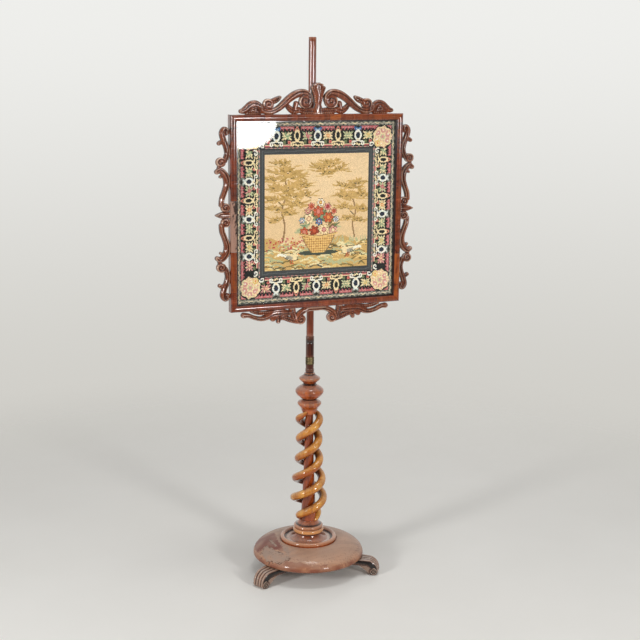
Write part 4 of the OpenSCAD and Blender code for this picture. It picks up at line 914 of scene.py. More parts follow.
def slab(width, height, front, back, edge, mid_z):
    """Corners and faces of an upright plate with its edges taken off."""
    rows = [(width / 2 - edge, height / 2 - edge, front), (width / 2, height / 2, front + edge),
            (width / 2, height / 2, back - edge), (width / 2 - edge, height / 2 - edge, back)]
    corners = [(side_x * x, y, mid_z + side_z * z) for x, z, y in rows
               for side_x, side_z in ((-1, -1), (1, -1), (1, 1), (-1, 1))]
    faces = ring_faces(len(rows), 4) + [(0, 1, 2, 3), (12, 15, 14, 13)]
    return corners, faces


corners, faces = slab(pane_w, pane_h, glass_y, glass_y + glass_t, pane_edge, panel_mid)
clear_glass, tree, shader = new_finish("clear_old_glass", {
    "Base Color": paint("#fbfbf8"), "Roughness": 0.0, "IOR": 1.34, "Transmission Weight": 1.0})
spot = place(tree, "TexCoord").outputs["Object"]
roughen(tree, shader, noise(tree, spot, 9.0, 1.0), 0.16, 1.0)
# Light straight from a lamp passes the pane without bending, only a little dimmed
lamp_ray = place(tree, "LightPath").outputs["Is Shadow Ray"]
let_through = place(tree, "MixShader", {0: lamp_ray, 1: shader.outputs[0],
                                        2: place(tree, "BsdfTransparent", {0: paint("#f6f6f3")}).outputs[0]})
tree.links.new(let_through.outputs[0], tree.nodes["Material Output"].inputs["Surface"])
piece("glass_plate", corners, faces, clear_glass, "screen", ["glass_pane"], crease=20)

# The fillets
# Thin black-stained strips between the glass and the needlework, which keep the stitches off the glass.
ebonised = wood_finish("ebonised_wood", "#2a2420", "#1d1815", "#0e0b0a", gloss=0.4, coat=0.2, grime_and_shade="#080606",
                       worn_and_highlight="#4a403a", wear_and_highlight=0.3, dust_and_sheen="#5a524c", dust_and_sheen_amount=0.15)
eased("ebonised_fillets", "glazing_fillets", 0.3, ebonised, "screen")

# The needlework
# Wool tent stitch on canvas, stretched over a board: a black border of loops, leaf stars and scrolls with
# corner roundels, from a zigzag edge to a slate band, round a buff picture of trees, flowers and doves.
canvas_front = -40.5
canvas_back = -39.3
stitch = 1.9
columns = round(pane_w / stitch)
lines = round(pane_h / stitch)
edge_x = np.linspace(-pane_w / 2, pane_w / 2, columns + 1)
edge_z = np.linspace(-pane_h / 2, pane_h / 2, lines + 1)
X, Z = np.meshgrid((edge_x[1:] + edge_x[:-1]) / 2, (edge_z[1:] + edge_z[:-1]) / 2)
wools = {name: np.array(paint(code)[:3]) for name, code in {
    "black": "#171a1a", "slate": "#3f4144", "slate_edge": "#53575a", "cream": "#e2d0a6",
    "white": "#e4e3d8", "ice": "#cfd9da", "sky": "#8fb0c8", "blue": "#2f5f92",
    "navy": "#20283c", "pink": "#b25a62", "rose": "#c98d88", "crimson": "#a83a42",
    "salmon": "#ca7e6c", "peach": "#e0c29a", "orange": "#d58a4a", "leaf": "#7e9270",
    "pale_leaf": "#b4b992", "moss": "#66724e", "gold": "#d8b468", "grey": "#7c7d74",
    "pale_grey": "#a19b8c", "dim": "#41453f", "buff": "#d8ba92", "warm_buff": "#dec29c",
    "olive": "#a6864a", "pale_olive": "#b4935a", "dark_olive": "#7c6a3c", "straw": "#c29e62",
    "pale_straw": "#d9b878", "umber": "#4d422c", "rust": "#b95030", "dark_rust": "#8c3520",
    "sage": "#abad86", "stone": "#dccfa4", "slate_green": "#3d453e", "bark": "#8a6c48",
    "wicker": "#c08f4c", "pale_wicker": "#dcb878"}.items()}
canvas = np.empty(X.shape + (3,))
canvas[:] = wools["black"]


def work(where, wool):
    """Stitches a wool wherever a mask is true."""
    canvas[where] = wools[wool]


def disc(u, v, at_u, at_v, r):
    """Which stitches lie in a round."""
    return np.hypot(u - at_u, v - at_v) < r


def oval(u, v, at_u, at_v, half_wide, half_high):
    """Which stitches lie in an oval."""
    return np.hypot((u - at_u) / half_wide, (v - at_v) / half_high) < 1


def off_line(u, v, points):
    """Distance of each stitch from a line through points."""
    points = np.array(points, float)
    nearest = np.full(u.shape, 1e9)
    for (u0, v0), (u1, v1) in zip(points[:-1], points[1:]):
        du, dv = u1 - u0, v1 - v0
        t = np.clip(((u - u0) * du + (v - v0) * dv) / (du * du + dv * dv + 1e-9), 0, 1)
        nearest = np.minimum(nearest, np.hypot(u - u0 - t * du, v - v0 - t * dv))
    return nearest


def curl(u, v, turn, r_out, r_in, start, flip):
    """Points of a small scroll that winds in to its eye."""
    angles = np.radians(start) + flip * np.linspace(0, turn, 16)
    radii = np.linspace(r_out, r_in, 16)
    return [(u + r * math.cos(a), v + r * math.sin(a)) for r, a in zip(radii, angles)]


def leaf(u, v, at_u, at_v, turn, length, width):
    """Which stitches lie in a pointed leaf that grows from a place in a direction in degrees."""
    along_u, along_v = math.cos(math.radians(turn)), math.sin(math.radians(turn))
    along = ((u - at_u) * along_u + (v - at_v) * along_v) / length
    across = np.abs((v - at_v) * along_u - (u - at_u) * along_v)
    return (along > 0) & (along < 1) & (across < width / 2 * np.sin(math.pi * np.clip(along, 0, 1) ** 0.8))


def petals(u, v, at_u, at_v, size, rays, turn=0.0):
    """Which stitches lie in a flower of round petals."""
    r, a = np.hypot(u - at_u, v - at_v), np.arctan2(v - at_v, u - at_u) + turn
    return r < size * (0.62 + 0.38 * np.abs(np.cos(rays * a / 2)))


star_wools = [("cream", "pale_leaf", "leaf"), ("pale_leaf", "pink", "rose"), ("cream", "orange", "peach"),
              ("pale_leaf", "leaf", "cream"), ("cream", "gold", "pale_leaf"), ("rose", "salmon", "cream")]


def leaf_star(u, d, at, depth, here, wool_out, wool_mid, wool_in):
    """A cross of veined leaves with a small flower on it."""
    for turn in (36, 144, 216, 324):
        for lean, long, wide in ((0, 18.5, 5.6), (30, 13.5, 4.0), (-30, 13.5, 4.0)):
            work(here & leaf(u, d, at, depth, turn + lean, long, wide), wool_out if lean <= 0 else wool_in)
        work(here & leaf(u, d, at, depth, turn + 2, 13.0, 1.5), "moss")
    work(here & petals(u, d, at, depth, 5.4, 5, 0.4), wool_mid)
    work(here & disc(u, d, at, depth, 2.2), wool_in)


# Depths in from the canvas's edge: the zigzag edge, the middle of the leaf stars, the thin line inside
# the border, and the slate band's two sides
edge_in = 16.5
star_in = 41.5
inner_line = 71.4
slate_out = 73.5
slate_in = 86.5


def border_side(u, d, here, loops, first_white, ribbon):
    """One side of the border, by place along it and depth in from the edge."""
    gap = loops[1] - loops[0]
    zig = 10.8 + 2.4 * np.abs((u / 6.5) % 2 - 1) - 1.2
    edging = here & (d < edge_in)
    work(edging, "dim")
    work(edging & (np.abs(d - 14.0 - 1.0 * np.sin(u / 2.3)) < 1.3) & (np.sin(u / 1.7) > -0.3), "grey")
    work(here & (np.abs(d - zig) < 2.2), "pale_grey")
    work(here & (np.abs(d - zig + 0.5) < 1.1) & (np.sin(u / 5.1) > 0.3), "cream")
    work(here & (d < 7.5) & (np.sin(u / 2.9) > 0.2), "grey")
    scallop = 25.0 + 2.6 * np.cos(2 * math.pi * u / 9.5)
    work(here & (d > 17.4) & (d < scallop), "pink")
    work(here & (d > 18.6) & (d < 22.5) & (np.sin(u / 1.7) * np.sin(d / 1.3 + u / 5) > -0.1), "rose")
    work(here & (d > 22) & (d < scallop) & (np.sin(u / 1.3 + 1) * np.cos(d / 1.1 - u / 3) > 0.35), "black")
    work(here & (d > 18) & (d < scallop) & (np.sin(u / 2.1 + 1) * np.cos(d / 1.6 - u / 7) > 0.8), "crimson")
    work(here & (np.abs(d - inner_line) < 1.7), "grey")
    work(here & (np.abs(d - inner_line) < 1.3) & (np.sin(u / 1.9) > 0.1), "rose")
    middles = [at + gap / 2 for at in loops] + [loops[0] - gap / 2]
    for number, middle in enumerate(middles):
        around = here & (np.abs(u - middle) < abs(gap) / 2)
        work(around & (np.abs(u - middle) < abs(gap) / 2 - 17) & (np.abs(d - 66.4) < 2.6), "pink")
        work(around & (np.abs(u - middle) < abs(gap) / 2 - 16) & (np.abs(d - 63.2) < 1.0), "cream")
        leaf_star(u, d, middle, star_in, around, *star_wools[number % len(star_wools)])
        for side, wool in ((-1, "moss"), (1, "salmon")):
            work(around & disc(u, d, middle + 7 * side, 57, 4.4), wool)
        work(around & disc(u, d, middle + 7, 57.5, 2.4), "crimson")
    for number, at in enumerate(loops):
        white = (number % 2 == 0) == first_white
        near = here & (np.abs(u - at) < abs(gap) * 0.62)
        work(near & oval(u, d, at, 40, 9.5, 18), "black")
        work(near & (np.abs(u - at) < 9.5) & (d > 16.8) & (d < 31), "black")
        if white:
            for side in (-1, 1):
                wools_here = ("blue", "sky") if ribbon else ("grey", "ice")
                work(near & leaf(u, d, at - 2 * side, 30, 270 + 52 * side, 19, 9), wools_here[0])
                work(near & leaf(u, d, at - 2 * side, 31, 270 + 46 * side, 13, 5), wools_here[1])
            ring = np.hypot((u - at) / 8.2, (d - 41.0) / 11.0)
            work(near & (np.abs(ring - 1) < 0.27), "white")
            work(near & (np.abs(ring - 1) < 0.27) & (np.sin(d / 3.0 + u / 3.0) > 0.5), "ice")
            work(near & (ring < 0.5), "navy")
            work(near & disc(u, d, at, 54.5, 3.4), "white")
        else:
            work(near & (np.abs(np.abs(u - at) - 0.55 * (d - 17)) < 1.7) & (d > 17) & (d < 28), "salmon")
            ring = np.hypot((u - at) / 6.4, (d - 40.0) / 12.5)
            work(near & (np.abs(ring - 1) < 0.26), "cream")
        for side in (-1, 1):
            scroll = smooth([(at - side * 3, 50.5), (at + side * 2, 55), (at + side * 7.5, 57),
                             (at + side * 12, 57)], 3)
            scroll += curl(at + side * 12.5, 62.5, 5.4, 5.6, 1.8, 270, side)
            work(near & (off_line(u, d, scroll) < 1.7), "white" if white else "cream")
            tendril = curl(at + side * 3.6, 64.5, 5.0, 3.4, 1.0, 200, -side)
            work(near & (off_line(u, d, tendril) < 1.3), "cream")
        work(near & disc(u, d, at, 54, 2.6), "cream")


half_w, half_h = pane_w / 2, pane_h / 2
side_stretch = 87.5 / 80
depths = {"top": half_h - Z, "bottom": half_h + Z, "left": (half_w + X) * side_stretch,
          "right": (half_w - X) * side_stretch}
least = np.min(list(depths.values()), axis=0)
loops_across = [57.0 * k for k in (-2, -1, 0, 1, 2)]
loops_up = [131.0 - 48.0 * k for k in range(6)]
for side, depth in depths.items():
    upright = side in ("left", "right")
    border_side(Z if upright else X, depth, depth == least, loops_up if upright else loops_across,
                not upright, side == "top")
work(least > slate_out, "slate")
work((least > slate_out) & (np.abs(least - 80 - 0.8 * np.sin(X / 9 + Z / 7)) < 1.0), "slate_edge")

# The four corner roundels, each with a gold rosette and two scrolls on its inner side
roundel = (185, 191)
rosette = (171, 174)
ring_of_swirls = 17.5
for side_x in (-1, 1):
    for side_z in (-1, 1):
        u, v = side_x * X, side_z * Z
        r = np.hypot(u - roundel[0], v - roundel[1])
        work((r < 31) & (least > 16) & (least < 72), "black")
        round_edge = 27.5 + 1.6 * np.cos(9 * np.arctan2(v - roundel[1], u - roundel[0]))
        work((r < round_edge) & (least > 14), "cream")
        work((r < round_edge) & (np.sin(u / 2.2 + v / 3.1) * np.sin(v / 2.0 - u / 4.0) > 0.66), "pale_leaf")
        work((r < round_edge) & (np.sin(u / 2.7 - v / 2.3) * np.sin(v / 3.1 + 1.0) > 0.35), "peach")
        work((r < round_edge) & (np.sin(u / 1.9 + v / 2.7) * np.cos(v / 2.2 - u / 3.3) > 0.55), "rose")
        for turn, size in ((20, 7.5), (80, 7.0), (140, 6), (205, 5), (260, 5), (320, 6.5)):
            at_u = roundel[0] + ring_of_swirls * math.cos(math.radians(turn))
            at_v = roundel[1] + ring_of_swirls * math.sin(math.radians(turn))
            swirl = off_line(u, v, curl(at_u, at_v, 4.6, size, 1.8, turn + 90, 1))
            work(swirl < 2.4, "peach" if size < 5.5 else "rose")
            work(disc(u, v, at_u, at_v, 1.8), "white")
        work(petals(u, v, *roundel, 7.5, 6), "pale_leaf")
        work(petals(u, v, *roundel, 5.0, 5), "rose")
        from_rosette = np.hypot(u - rosette[0], v - rosette[1])
        work(from_rosette < 8.6, "cream")
        work(np.abs(from_rosette - 6.2) < 1.6, "gold")
        work(petals(u, v, *rosette, 4.0, 5), "orange")
        for at_u, at_v, start in ((153, 171, 20), (171, 154, 70)):
            work(disc(u, v, at_u, at_v, 8.4), "black")
            work(disc(u, v, at_u, at_v, 6.0), "navy")
            work(off_line(u, v, curl(at_u, at_v, 5.4, 7.4, 1.6, start, 1)) < 1.7, "white")

picture = least > slate_in


def draw(where, wool):
    """Stitches a wool inside the picture wherever a mask is true."""
    work(picture & where, wool)


work(picture, "buff")
draw(Z > 30 + 22 * np.sin(X / 60), "warm_buff")
chance = np.random.default_rng(17)


def spray(at_x, at_z, size, lean):
    """A broad flat pad of leaves at the end of a bough, with a few dark stitches under it."""
    flat = 0.5
    for stroke in range(26):
        turn = lean + (stroke % 13 - 6) * 15 + chance.normal(0, 6)
        root = (at_x + chance.normal(0, 0.3) * size, at_z + chance.normal(0, 0.1) * size)
        long = size * chance.uniform(0.5, 0.95)
        wool = ("straw", "pale_olive", "straw", "olive", "pale_olive", "straw")[stroke % 6]
        draw(leaf(X, Z / flat, root[0], root[1] / flat, turn, long, 0.2 * size), wool)
    for dash in range(8):
        turn = math.radians(lean + chance.normal(0, 55))
        reach = size * chance.uniform(0.0, 0.55)
        start = (at_x + reach * math.cos(turn), at_z - 2 + 0.5 * reach * math.sin(turn))
        end = (start[0] + 4.5 * math.cos(turn), start[1] + 1.8 * math.sin(turn))
        draw(off_line(X, Z, [start, end]) < 0.9, ("umber", "dark_olive")[dash % 2])


def bough(points, width, wool):
    """A trunk or branch along points."""
    draw(off_line(X, Z, smooth(points, 5)) < width, wool)


# Two trees with pads of leaves, and loose sprays at the top
bough([(-96, -76), (-90, -36), (-98, 6), (-86, 48), (-90, 88)], 2.4, "bark")
bough([(-95, -10), (-76, 14), (-58, 22)], 1.5, "dark_olive")
bough([(-97, 18), (-114, 34), (-124, 38)], 1.5, "dark_olive")
bough([(-88, 50), (-64, 66), (-46, 72)], 1.5, "umber")
# Each spray: its place, its size and the way that it leans, in degrees
left_sprays = [(-122, 34, 40, 100), (-112, 8, 36, 95), (-56, 20, 42, 80), (-78, -4, 32, 85),
               (-114, 62, 40, 95), (-48, 68, 44, 80), (-64, 90, 44, 85), (-92, 104, 46, 92),
               (-120, 84, 38, 100), (-84, 56, 40, 90), (-98, 124, 34, 92), (-66, 40, 40, 85),
               (-118, -20, 30, 100), (-34, 44, 30, 75)]
for row in left_sprays:
    spray(*row)
bough([(108, -70), (102, -34), (110, 0), (98, 40)], 2.0, "bark")
bough([(105, -12), (88, 6), (76, 12)], 1.3, "umber")
right_sprays = [(74, 8, 38, 100), (122, 2, 36, 85), (98, 34, 42, 90), (74, 38, 36, 100), (122, 40, 38, 85),
                (100, 60, 38, 90), (122, -28, 30, 85), (86, -22, 30, 95), (80, 64, 32, 95), (118, 72, 32, 88)]
top_sprays = [(4, 112, 34, 95), (36, 122, 36, 88), (64, 108, 32, 85), (26, 98, 34, 90)]
for row in right_sprays + top_sprays:
    spray(*row)

# Mossy ground, with small red flowers on the left and blades of grass on the right
ground = picture & (Z < -74 + 7 * np.sin(X / 31) + 4 * np.sin(X / 11 + 1))
work(ground, "straw")
for number in range(150):
    at_x, at_z = chance.uniform(-145, 145), chance.uniform(-150, -80)
    wide = chance.uniform(8, 22)
    hump = [(at_x - wide, at_z - 2), (at_x - wide / 3, at_z + 2.5), (at_x + wide / 3, at_z + 2),
            (at_x + wide, at_z - 3)]
    wool = ("sage", "stone", "pale_straw", "slate_green", "sage", "umber", "stone", "dark_olive")[number % 8]
    work(ground & (off_line(X, Z, hump) < (0.9 if wool in ("umber", "slate_green") else 2.0)), wool)
for number in range(60):
    at_x, at_z = chance.uniform(-140, -30), chance.normal(-82, 8)
    draw(disc(X, Z, at_x, at_z, 2.2), ("rust", "salmon", "crimson", "pink")[number % 4])
for number in range(22):
    at_x = chance.uniform(40, 140)
    draw(leaf(X, Z, at_x, -84, chance.uniform(60, 120), chance.uniform(10, 24), 2.6), "sage")

# The basket: a low bowl of wicker, full of flowers
basket_x, basket_top, basket_foot = 4, -62, -108
bunch_z = -22
bowl = 44 * np.sqrt(np.clip((Z - basket_foot + 6) / (basket_top - basket_foot + 6), 0, 1)) + 4
basket = picture & (np.abs(X - basket_x) < bowl) & (Z > basket_foot) & (Z < basket_top)
draw(oval(X, Z, basket_x, basket_foot, 56, 7), "slate_green")
work(basket, "wicker")
weave = np.sin((X - basket_x + Z) / 2.0) * np.sin((X - basket_x - Z) / 2.0)
work(basket & (weave > 0.1), "pale_wicker")
work(basket & (weave < -0.62), "bark")
work(basket & (np.abs(X - basket_x) > bowl - 3.2), "bark")
rim_line = smooth([(basket_x - 52, basket_top + 4), (basket_x, basket_top - 3),
                   (basket_x + 52, basket_top + 4)], 6)
for number in range(44):
    turn = chance.uniform(-5, 185)
    root = (basket_x + 30 * math.cos(math.radians(turn)), basket_top + 12 + 26 * math.sin(math.radians(turn)))
    wool = ("moss", "leaf", "sage", "dark_olive")[number % 4]
    draw(leaf(X, Z, root[0], root[1], turn + chance.normal(0, 18), chance.uniform(22, 42), 8), wool)
# Each bloom: its place from the bunch's middle, its size, and the wools of its petals and of its heart
blooms = [(0, 22, 15, "rust", "salmon"), (-27, 4, 14, "cream", "peach"), (28, 6, 14, "rust", "orange"),
          (-12, -28, 14, "dark_rust", "rust"), (16, -26, 14, "cream", "rose"),
          (-40, -30, 12, "rust", "salmon"), (42, -28, 12, "rose", "cream"),
          (6, 46, 10, "white", "gold"), (-20, 36, 10, "salmon", "rust"),
          (26, 34, 10, "rose", "crimson"), (-46, 0, 8, "sky", "white"), (50, 0, 8, "ice", "sky"),
          (2, -4, 10, "blue", "sky"), (-30, 24, 8, "rose", "cream"), (44, 22, 8, "salmon", "rust")]
for at_x, at_z, size, petal, heart in blooms:
    at_x, at_z = at_x + basket_x, at_z + bunch_z
    draw(petals(X, Z, at_x, at_z, size + 1.6, 6, at_x * 0.1), "umber")
    draw(petals(X, Z, at_x, at_z, size, 6, at_x * 0.1), petal)
    for turn in range(0, 360, 60):
        draw(leaf(X, Z, at_x, at_z, turn + at_x, 0.85 * size, 1.6), heart)
    from_heart = np.hypot(X - at_x, Z - at_z)
    draw(from_heart < size * 0.42, heart)
    draw(np.abs(from_heart - size * 0.42) < 0.8, "dark_rust")
draw(off_line(X, Z, rim_line) < 3.0, "pale_wicker")
draw(off_line(X, Z - 1.4, rim_line) < 1.0, "bark")

# Two pale doves on the ground, one on each side of the basket
for at_x, at_z, way in ((92, -104, -1), (-74, -116, 1)):
    u, v = way * (X - at_x), Z - at_z
    draw(oval(u, v + 0.24 * u, 0, 0, 21, 10.5), "umber")
    draw(oval(u, v + 0.24 * u, 0, 0, 19, 8.5), "cream")
    draw(oval(u, v, 15, 6, 7, 6.5), "cream")
    draw(off_line(u, v, [(-14, 4), (-30, 7), (-34, 6)]) < 3.4, "white")
    for feather in range(4):
        plume = leaf(u, v, 7, -1 - 1.6 * feather, 165 + 4 * feather, 24 - 3 * feather, 3.2)
        draw(plume, "pale_grey")
        quill = [(4, -3 - 1.6 * feather), (-12, 1 - 1.4 * feather)]
        draw(off_line(u, v, quill) < 0.8, "grey")
    draw(off_line(u, v, [(21, 6), (26, 4.5)]) < 1.4, "orange")
    draw(disc(u, v, 17, 7.5, 1.3), "umber")
    for leg in (-1, 5):
        draw(off_line(u, v, [(leg, -8), (leg + 1, -17), (leg + 5, -18)]) < 1.1, "rust")

# The stitches, each a face of one wool, a little uneven in dye and height, and the canvas's edge and back
canvas *= 1 + np.random.default_rng(23).normal(0, 0.07, X.shape)[..., None]
canvas = np.clip(canvas, 0.004, 0.95)
rise = np.random.default_rng(29).uniform(-0.12, 0.12, (lines + 1, columns + 1))
rise[[0, -1], :] = 0
rise[:, [0, -1]] = 0
grid_x, grid_z = np.meshgrid(edge_x, edge_z)
front_corners = np.stack([grid_x, canvas_front + 0.14 + rise, panel_mid + grid_z], axis=-1).reshape(-1, 3)
row_step = columns + 1
rim = np.concatenate([np.arange(row_step), np.arange(1, lines + 1) * row_step + columns,
                      lines * row_step + np.arange(columns - 1, -1, -1),
                      np.arange(lines - 1, 0, -1) * row_step])
back_corners = front_corners[rim].copy()
back_corners[:, 1] = canvas_back
first = (np.arange(lines)[:, None] * row_step + np.arange(columns)).reshape(-1)
stitch_faces = np.stack([first, first + 1, first + row_step + 1, first + row_step], axis=-1).tolist()
start = len(front_corners)
rim_faces = [(rim[k], rim[(k + 1) % len(rim)], start + (k + 1) % len(rim), start + k)
             for k in range(len(rim))]
back_face = [tuple(range(start, start + len(rim)))]
wool_stitches, tree, shader = new_finish("wool_tent_stitch", {"Sheen Weight": 0.15,
                                                              "Specular IOR Level": 0.15})
dyed = place(tree, "Attribute", attribute_name="wool").outputs["Color"]
spot = place(tree, "TexCoord").outputs["Object"]
parts = place(tree, "SeparateXYZ", {0: spot}).outputs
stitch_turns = 2 * math.pi / (stitch * mm)
# Painted shade in the furrows between the slanted yarns and between the rows of stitches, from the same
# pattern as the yarn's bump
slant = reckon(tree, "ADD", parts["X"], parts["Z"])
lay = reckon(tree, "SINE", reckon(tree, "MULTIPLY", slant, stitch_turns))
row_gap = reckon(tree, "SINE", reckon(tree, "MULTIPLY", parts["Z"], stitch_turns))
fuzz = noise(tree, spot, 1800.0, 3.0)
yarn = reckon(tree, "ADD", reckon(tree, "MULTIPLY_ADD", row_gap, 0.3, lay), fuzz)
shaded = between(tree, yarn, -0.9, 1.0, 0.3, 0.0)
wool_with_painted_shade = mixed(tree, shaded, dyed, paint("#1a1714"))
tree.links.new(wool_with_painted_shade, shader.inputs["Base Color"])
tree.links.new(reckon(tree, "MULTIPLY_ADD", fuzz, 0.2, 0.75), shader.inputs["Roughness"])
roughen(tree, shader, yarn, 0.5, 0.3)
needlework = piece("wool_needlework", np.concatenate([front_corners, back_corners]),
                   stitch_faces + rim_faces + back_face, wool_stitches, "screen",
                   ["needlework_panel"], crease=30)
wool_colours = np.ones((len(needlework.data.loops), 4), np.float32)
wool_colours[:, :3] = wools["buff"]
wool_colours[:4 * lines * columns, :3] = np.repeat(canvas.reshape(-1, 3), 4, axis=0)
dyes = needlework.data.color_attributes.new("wool", "FLOAT_COLOR", "CORNER")
dyes.data.foreach_set("color", wool_colours.ravel())

# The boards behind
# A pine board that the canvas is stretched over, and behind it a thin panel of darker wood that closes
# the frame's back. Iron brads hold the panel.
eased("stretcher", "stretcher_board", 0.5, pine, "screen")
back_wood = wood_finish("back_panel_wood", "#9a7048", "#7f5835", "#5c3c22", gloss=0.55, coat=0.05,
                        fineness=0.5, grime_and_shade="#33200f", dirt=0.5, worn_and_highlight="#b08c62", wear_and_highlight=0.4, dust_and_sheen="#9a8468",
                        dust_and_sheen_amount=0.2, relief=0.6)
eased("back_panel", "back_board", 0.5, back_wood, "screen")
dressed("back_pins", iron)

# The carvings
# A crest, two side pieces and an apron of rosewood, sawn out and carved on the front with grooved bands,
# volutes, leaves, reeds and buds. Ridges are rubbed pale and carry painted highlights, hollows are in painted
# shade, and pegs hold them to the frame.
carving_t = 13
carving_back = -35.5
carving_grid = 0.9
edge_share = 0.45
# Each stroke of a carving: its kind, how high it stands, and rows of place along the edge, height off the
# edge and width. A carving repeats them on the other side of its middle.
crest_strokes = [
    ("band", 1.0, [(20, 33, 8), (23, 45, 12), (34, 53, 16), (48, 53, 20), (64, 48, 20), (80, 38, 19),
                   (94, 26, 18), (108, 15, 16), (122, 8, 15), (136, 6, 14), (150, 9, 13), (156, 19, 11)]),
    ("volute", 1.0, [(35, 31, 34), (36, 31, 34)]),
    ("volute", 0.95, [(136, 25, 28), (137, 25, 28)]),
    ("leaf", 0.9, [(128, 30, 15), (114, 36, 15), (105, 42, 9)]),
    ("band", 0.85, [(150, 9, 16), (159, 19, 18), (170, 25, 20), (182, 23, 20), (193, 15, 18),
                    (202, 9, 15), (209, 8, 11)]),
    ("volute", 0.85, [(176, 13, 20), (177, 13, 20)]),
    ("leaf", 0.7, [(158, 6, 13), (176, 4, 11), (194, 4, 10)]),
    ("reed", 0.97, [(0, -4, 30), (0, 12, 24), (0, 30, 14), (2, 55, 16), (3, 73, 12)]),
    ("leaf", 0.85, [(4, 24, 10), (10, 52, 12), (17, 66, 8)]),
    ("leaf", 0.92, [(2, 26, 10), (7, 54, 12), (10, 72, 9)]),
    ("leaf", 0.8, [(6, 6, 16), (22, 7, 18), (38, 7, 18), (48, 9, 13)]),
    ("leaf", 0.8, [(54, 10, 17), (68, 8, 17), (80, 16, 14), (86, 24, 9)]),
    ("bud", 0.75, [(64, 12, 10), (62, 20, 12), (60, 26, 14)]),
]
side_strokes = [
    ("band", 0.9, [(207, 9, 9), (215, 7, 9), (216, 14, 13), (206, 19, 15), (189, 15, 15), (172, 8, 15),
                   (155, 6, 14), (138, 12, 13)]),
    ("volute", 0.7, [(210, 10, 20), (210, 11, 20)]),
    ("volute", 1.0, [(134, 23, 24), (134, 24, 24)]),
    ("leaf", 0.8, [(180, 14, 10), (184, 22, 10), (181, 27, 11)]),
    ("band", 1.0, [(110, 33, 13), (114, 25, 15), (106, 15, 17), (92, 8, 18), (76, 8, 16), (58, 14, 14),
                   (42, 20, 14), (26, 22, 13)]),
    ("volute", 0.95, [(19, 11, 23), (19, 12, 23)]),
    ("leaf", 0.8, [(103, 16, 9), (97, 24, 8)]),
    ("bud", 0.75, [(128, 26, 10), (118, 28, 10)]),
    ("reed", 0.95, [(0, -4, 16), (0, 16, 18), (0, 28, 12), (0, 36, 5)]),
]
apron_strokes = [
    ("band", 1.0, [(-2, 5, 14), (20, 5, 14), (36, 10, 15), (50, 20, 17), (56, 30, 14)]),
    ("volute", 1.0, [(44, 32, 26), (45, 32, 26)]),
    ("leaf", 0.9, [(54, 37, 14), (74, 31, 15), (92, 24, 15), (104, 26, 13), (107, 34, 11)]),
    ("leaf", 0.85, [(58, 36, 12), (65, 18, 17), (68, 4, 19)]),
    ("band", 0.95, [(76, 13, 14), (92, 11, 19), (110, 11, 21), (126, 13, 19), (140, 20, 16),
                    (155, 23, 13), (173, 19, 12), (190, 12, 12), (203, 11, 15)]),
    ("bud", 0.9, [(112, 18, 13), (122, 25, 16)]),
    ("leaf", 0.75, [(126, 8, 13), (148, 9, 11), (166, 6, 11), (180, 1, 11)]),
    ("leaf", 0.75, [(84, 10, 12), (98, 4, 13)]),
]
coils = 1.6


def stroke_relief(along, off, rows):
    """For places on a carving: depth inside a stroke, the place across it from -1 to 1 and along it in mm."""
    curve = np.array(smooth(rows, 7))
    best = np.full(along.shape, -1e9)
    across = np.zeros(along.shape)
    run = np.zeros(along.shape)
    walked = 0.0
    for (u0, v0, w0), (u1, v1, w1) in zip(curve[:-1], curve[1:]):
        du, dv = u1 - u0, v1 - v0
        length = math.hypot(du, dv) + 1e-9
        t = np.clip(((along - u0) * du + (off - v0) * dv) / length ** 2, 0, 1)
        gap_u, gap_v = along - u0 - t * du, off - v0 - t * dv
        half = (w0 + (w1 - w0) * t) / 2
        deep = half - np.hypot(gap_u, gap_v)
        nearer = deep > best
        best = np.where(nearer, deep, best)
        turn = np.sign(du * gap_v - dv * gap_u)
        across = np.where(nearer, turn * np.hypot(gap_u, gap_v) / half, across)
        run = np.where(nearer, walked + t * length, run)
        walked += length
    return best, across, run


def dip(place, at, width):
    """A groove's depth, from 0 to 1, at a place across a stroke."""
    return np.exp(-((place - at) / width) ** 2)


def carved_height(kind, across, run):
    """The carver's profile across a stroke, from 0 at its edge to 1 on its ridge."""
    swell = np.sqrt(np.clip(1 - across ** 2, 0, 1))
    if kind == "volute":
        winding = np.abs(across) * coils + run
        return 0.5 + 0.5 * np.abs(np.sin(math.pi * winding)) * (0.6 + 0.4 * swell)
    if kind == "band":
        return swell - 0.42 * dip(across, 0.22, 0.16) - 0.16 * dip(across, -0.62, 0.12)
    if kind == "leaf":
        veins = 0.1 * np.cos(2 * math.pi * (run - 4.0 * np.abs(across)) / 5.5)
        return 0.9 * swell - 0.4 * dip(across, 0.0, 0.14) + veins * swell
    if kind == "reed":
        return 0.95 * swell - 0.34 * dip(across, 0.34, 0.1) - 0.34 * dip(across, -0.34, 0.1)
    return swell


def carving_relief(strokes, along, off):
    """How far inside the wood each place is, and how high the carving stands there."""
    depth = np.full(along.shape, -1e9)
    height = np.zeros(along.shape)
    for kind, lift, rows in strokes:
        deep, across, run = stroke_relief(np.abs(along), off, rows)
        if kind == "volute":
            run = np.arctan2(off - rows[0][1], np.abs(along) - rows[0][0]) / (2 * math.pi)
        shape = np.clip(edge_share + (1 - edge_share) * carved_height(kind, across, run), 0.12, 1)
        height = np.where(deep > 0, np.maximum(height, carving_t * lift * shape), height)
        depth = np.maximum(depth, deep)
    return np.minimum(depth, off - 0.05), np.maximum(height, carving_t * edge_share * 0.6)


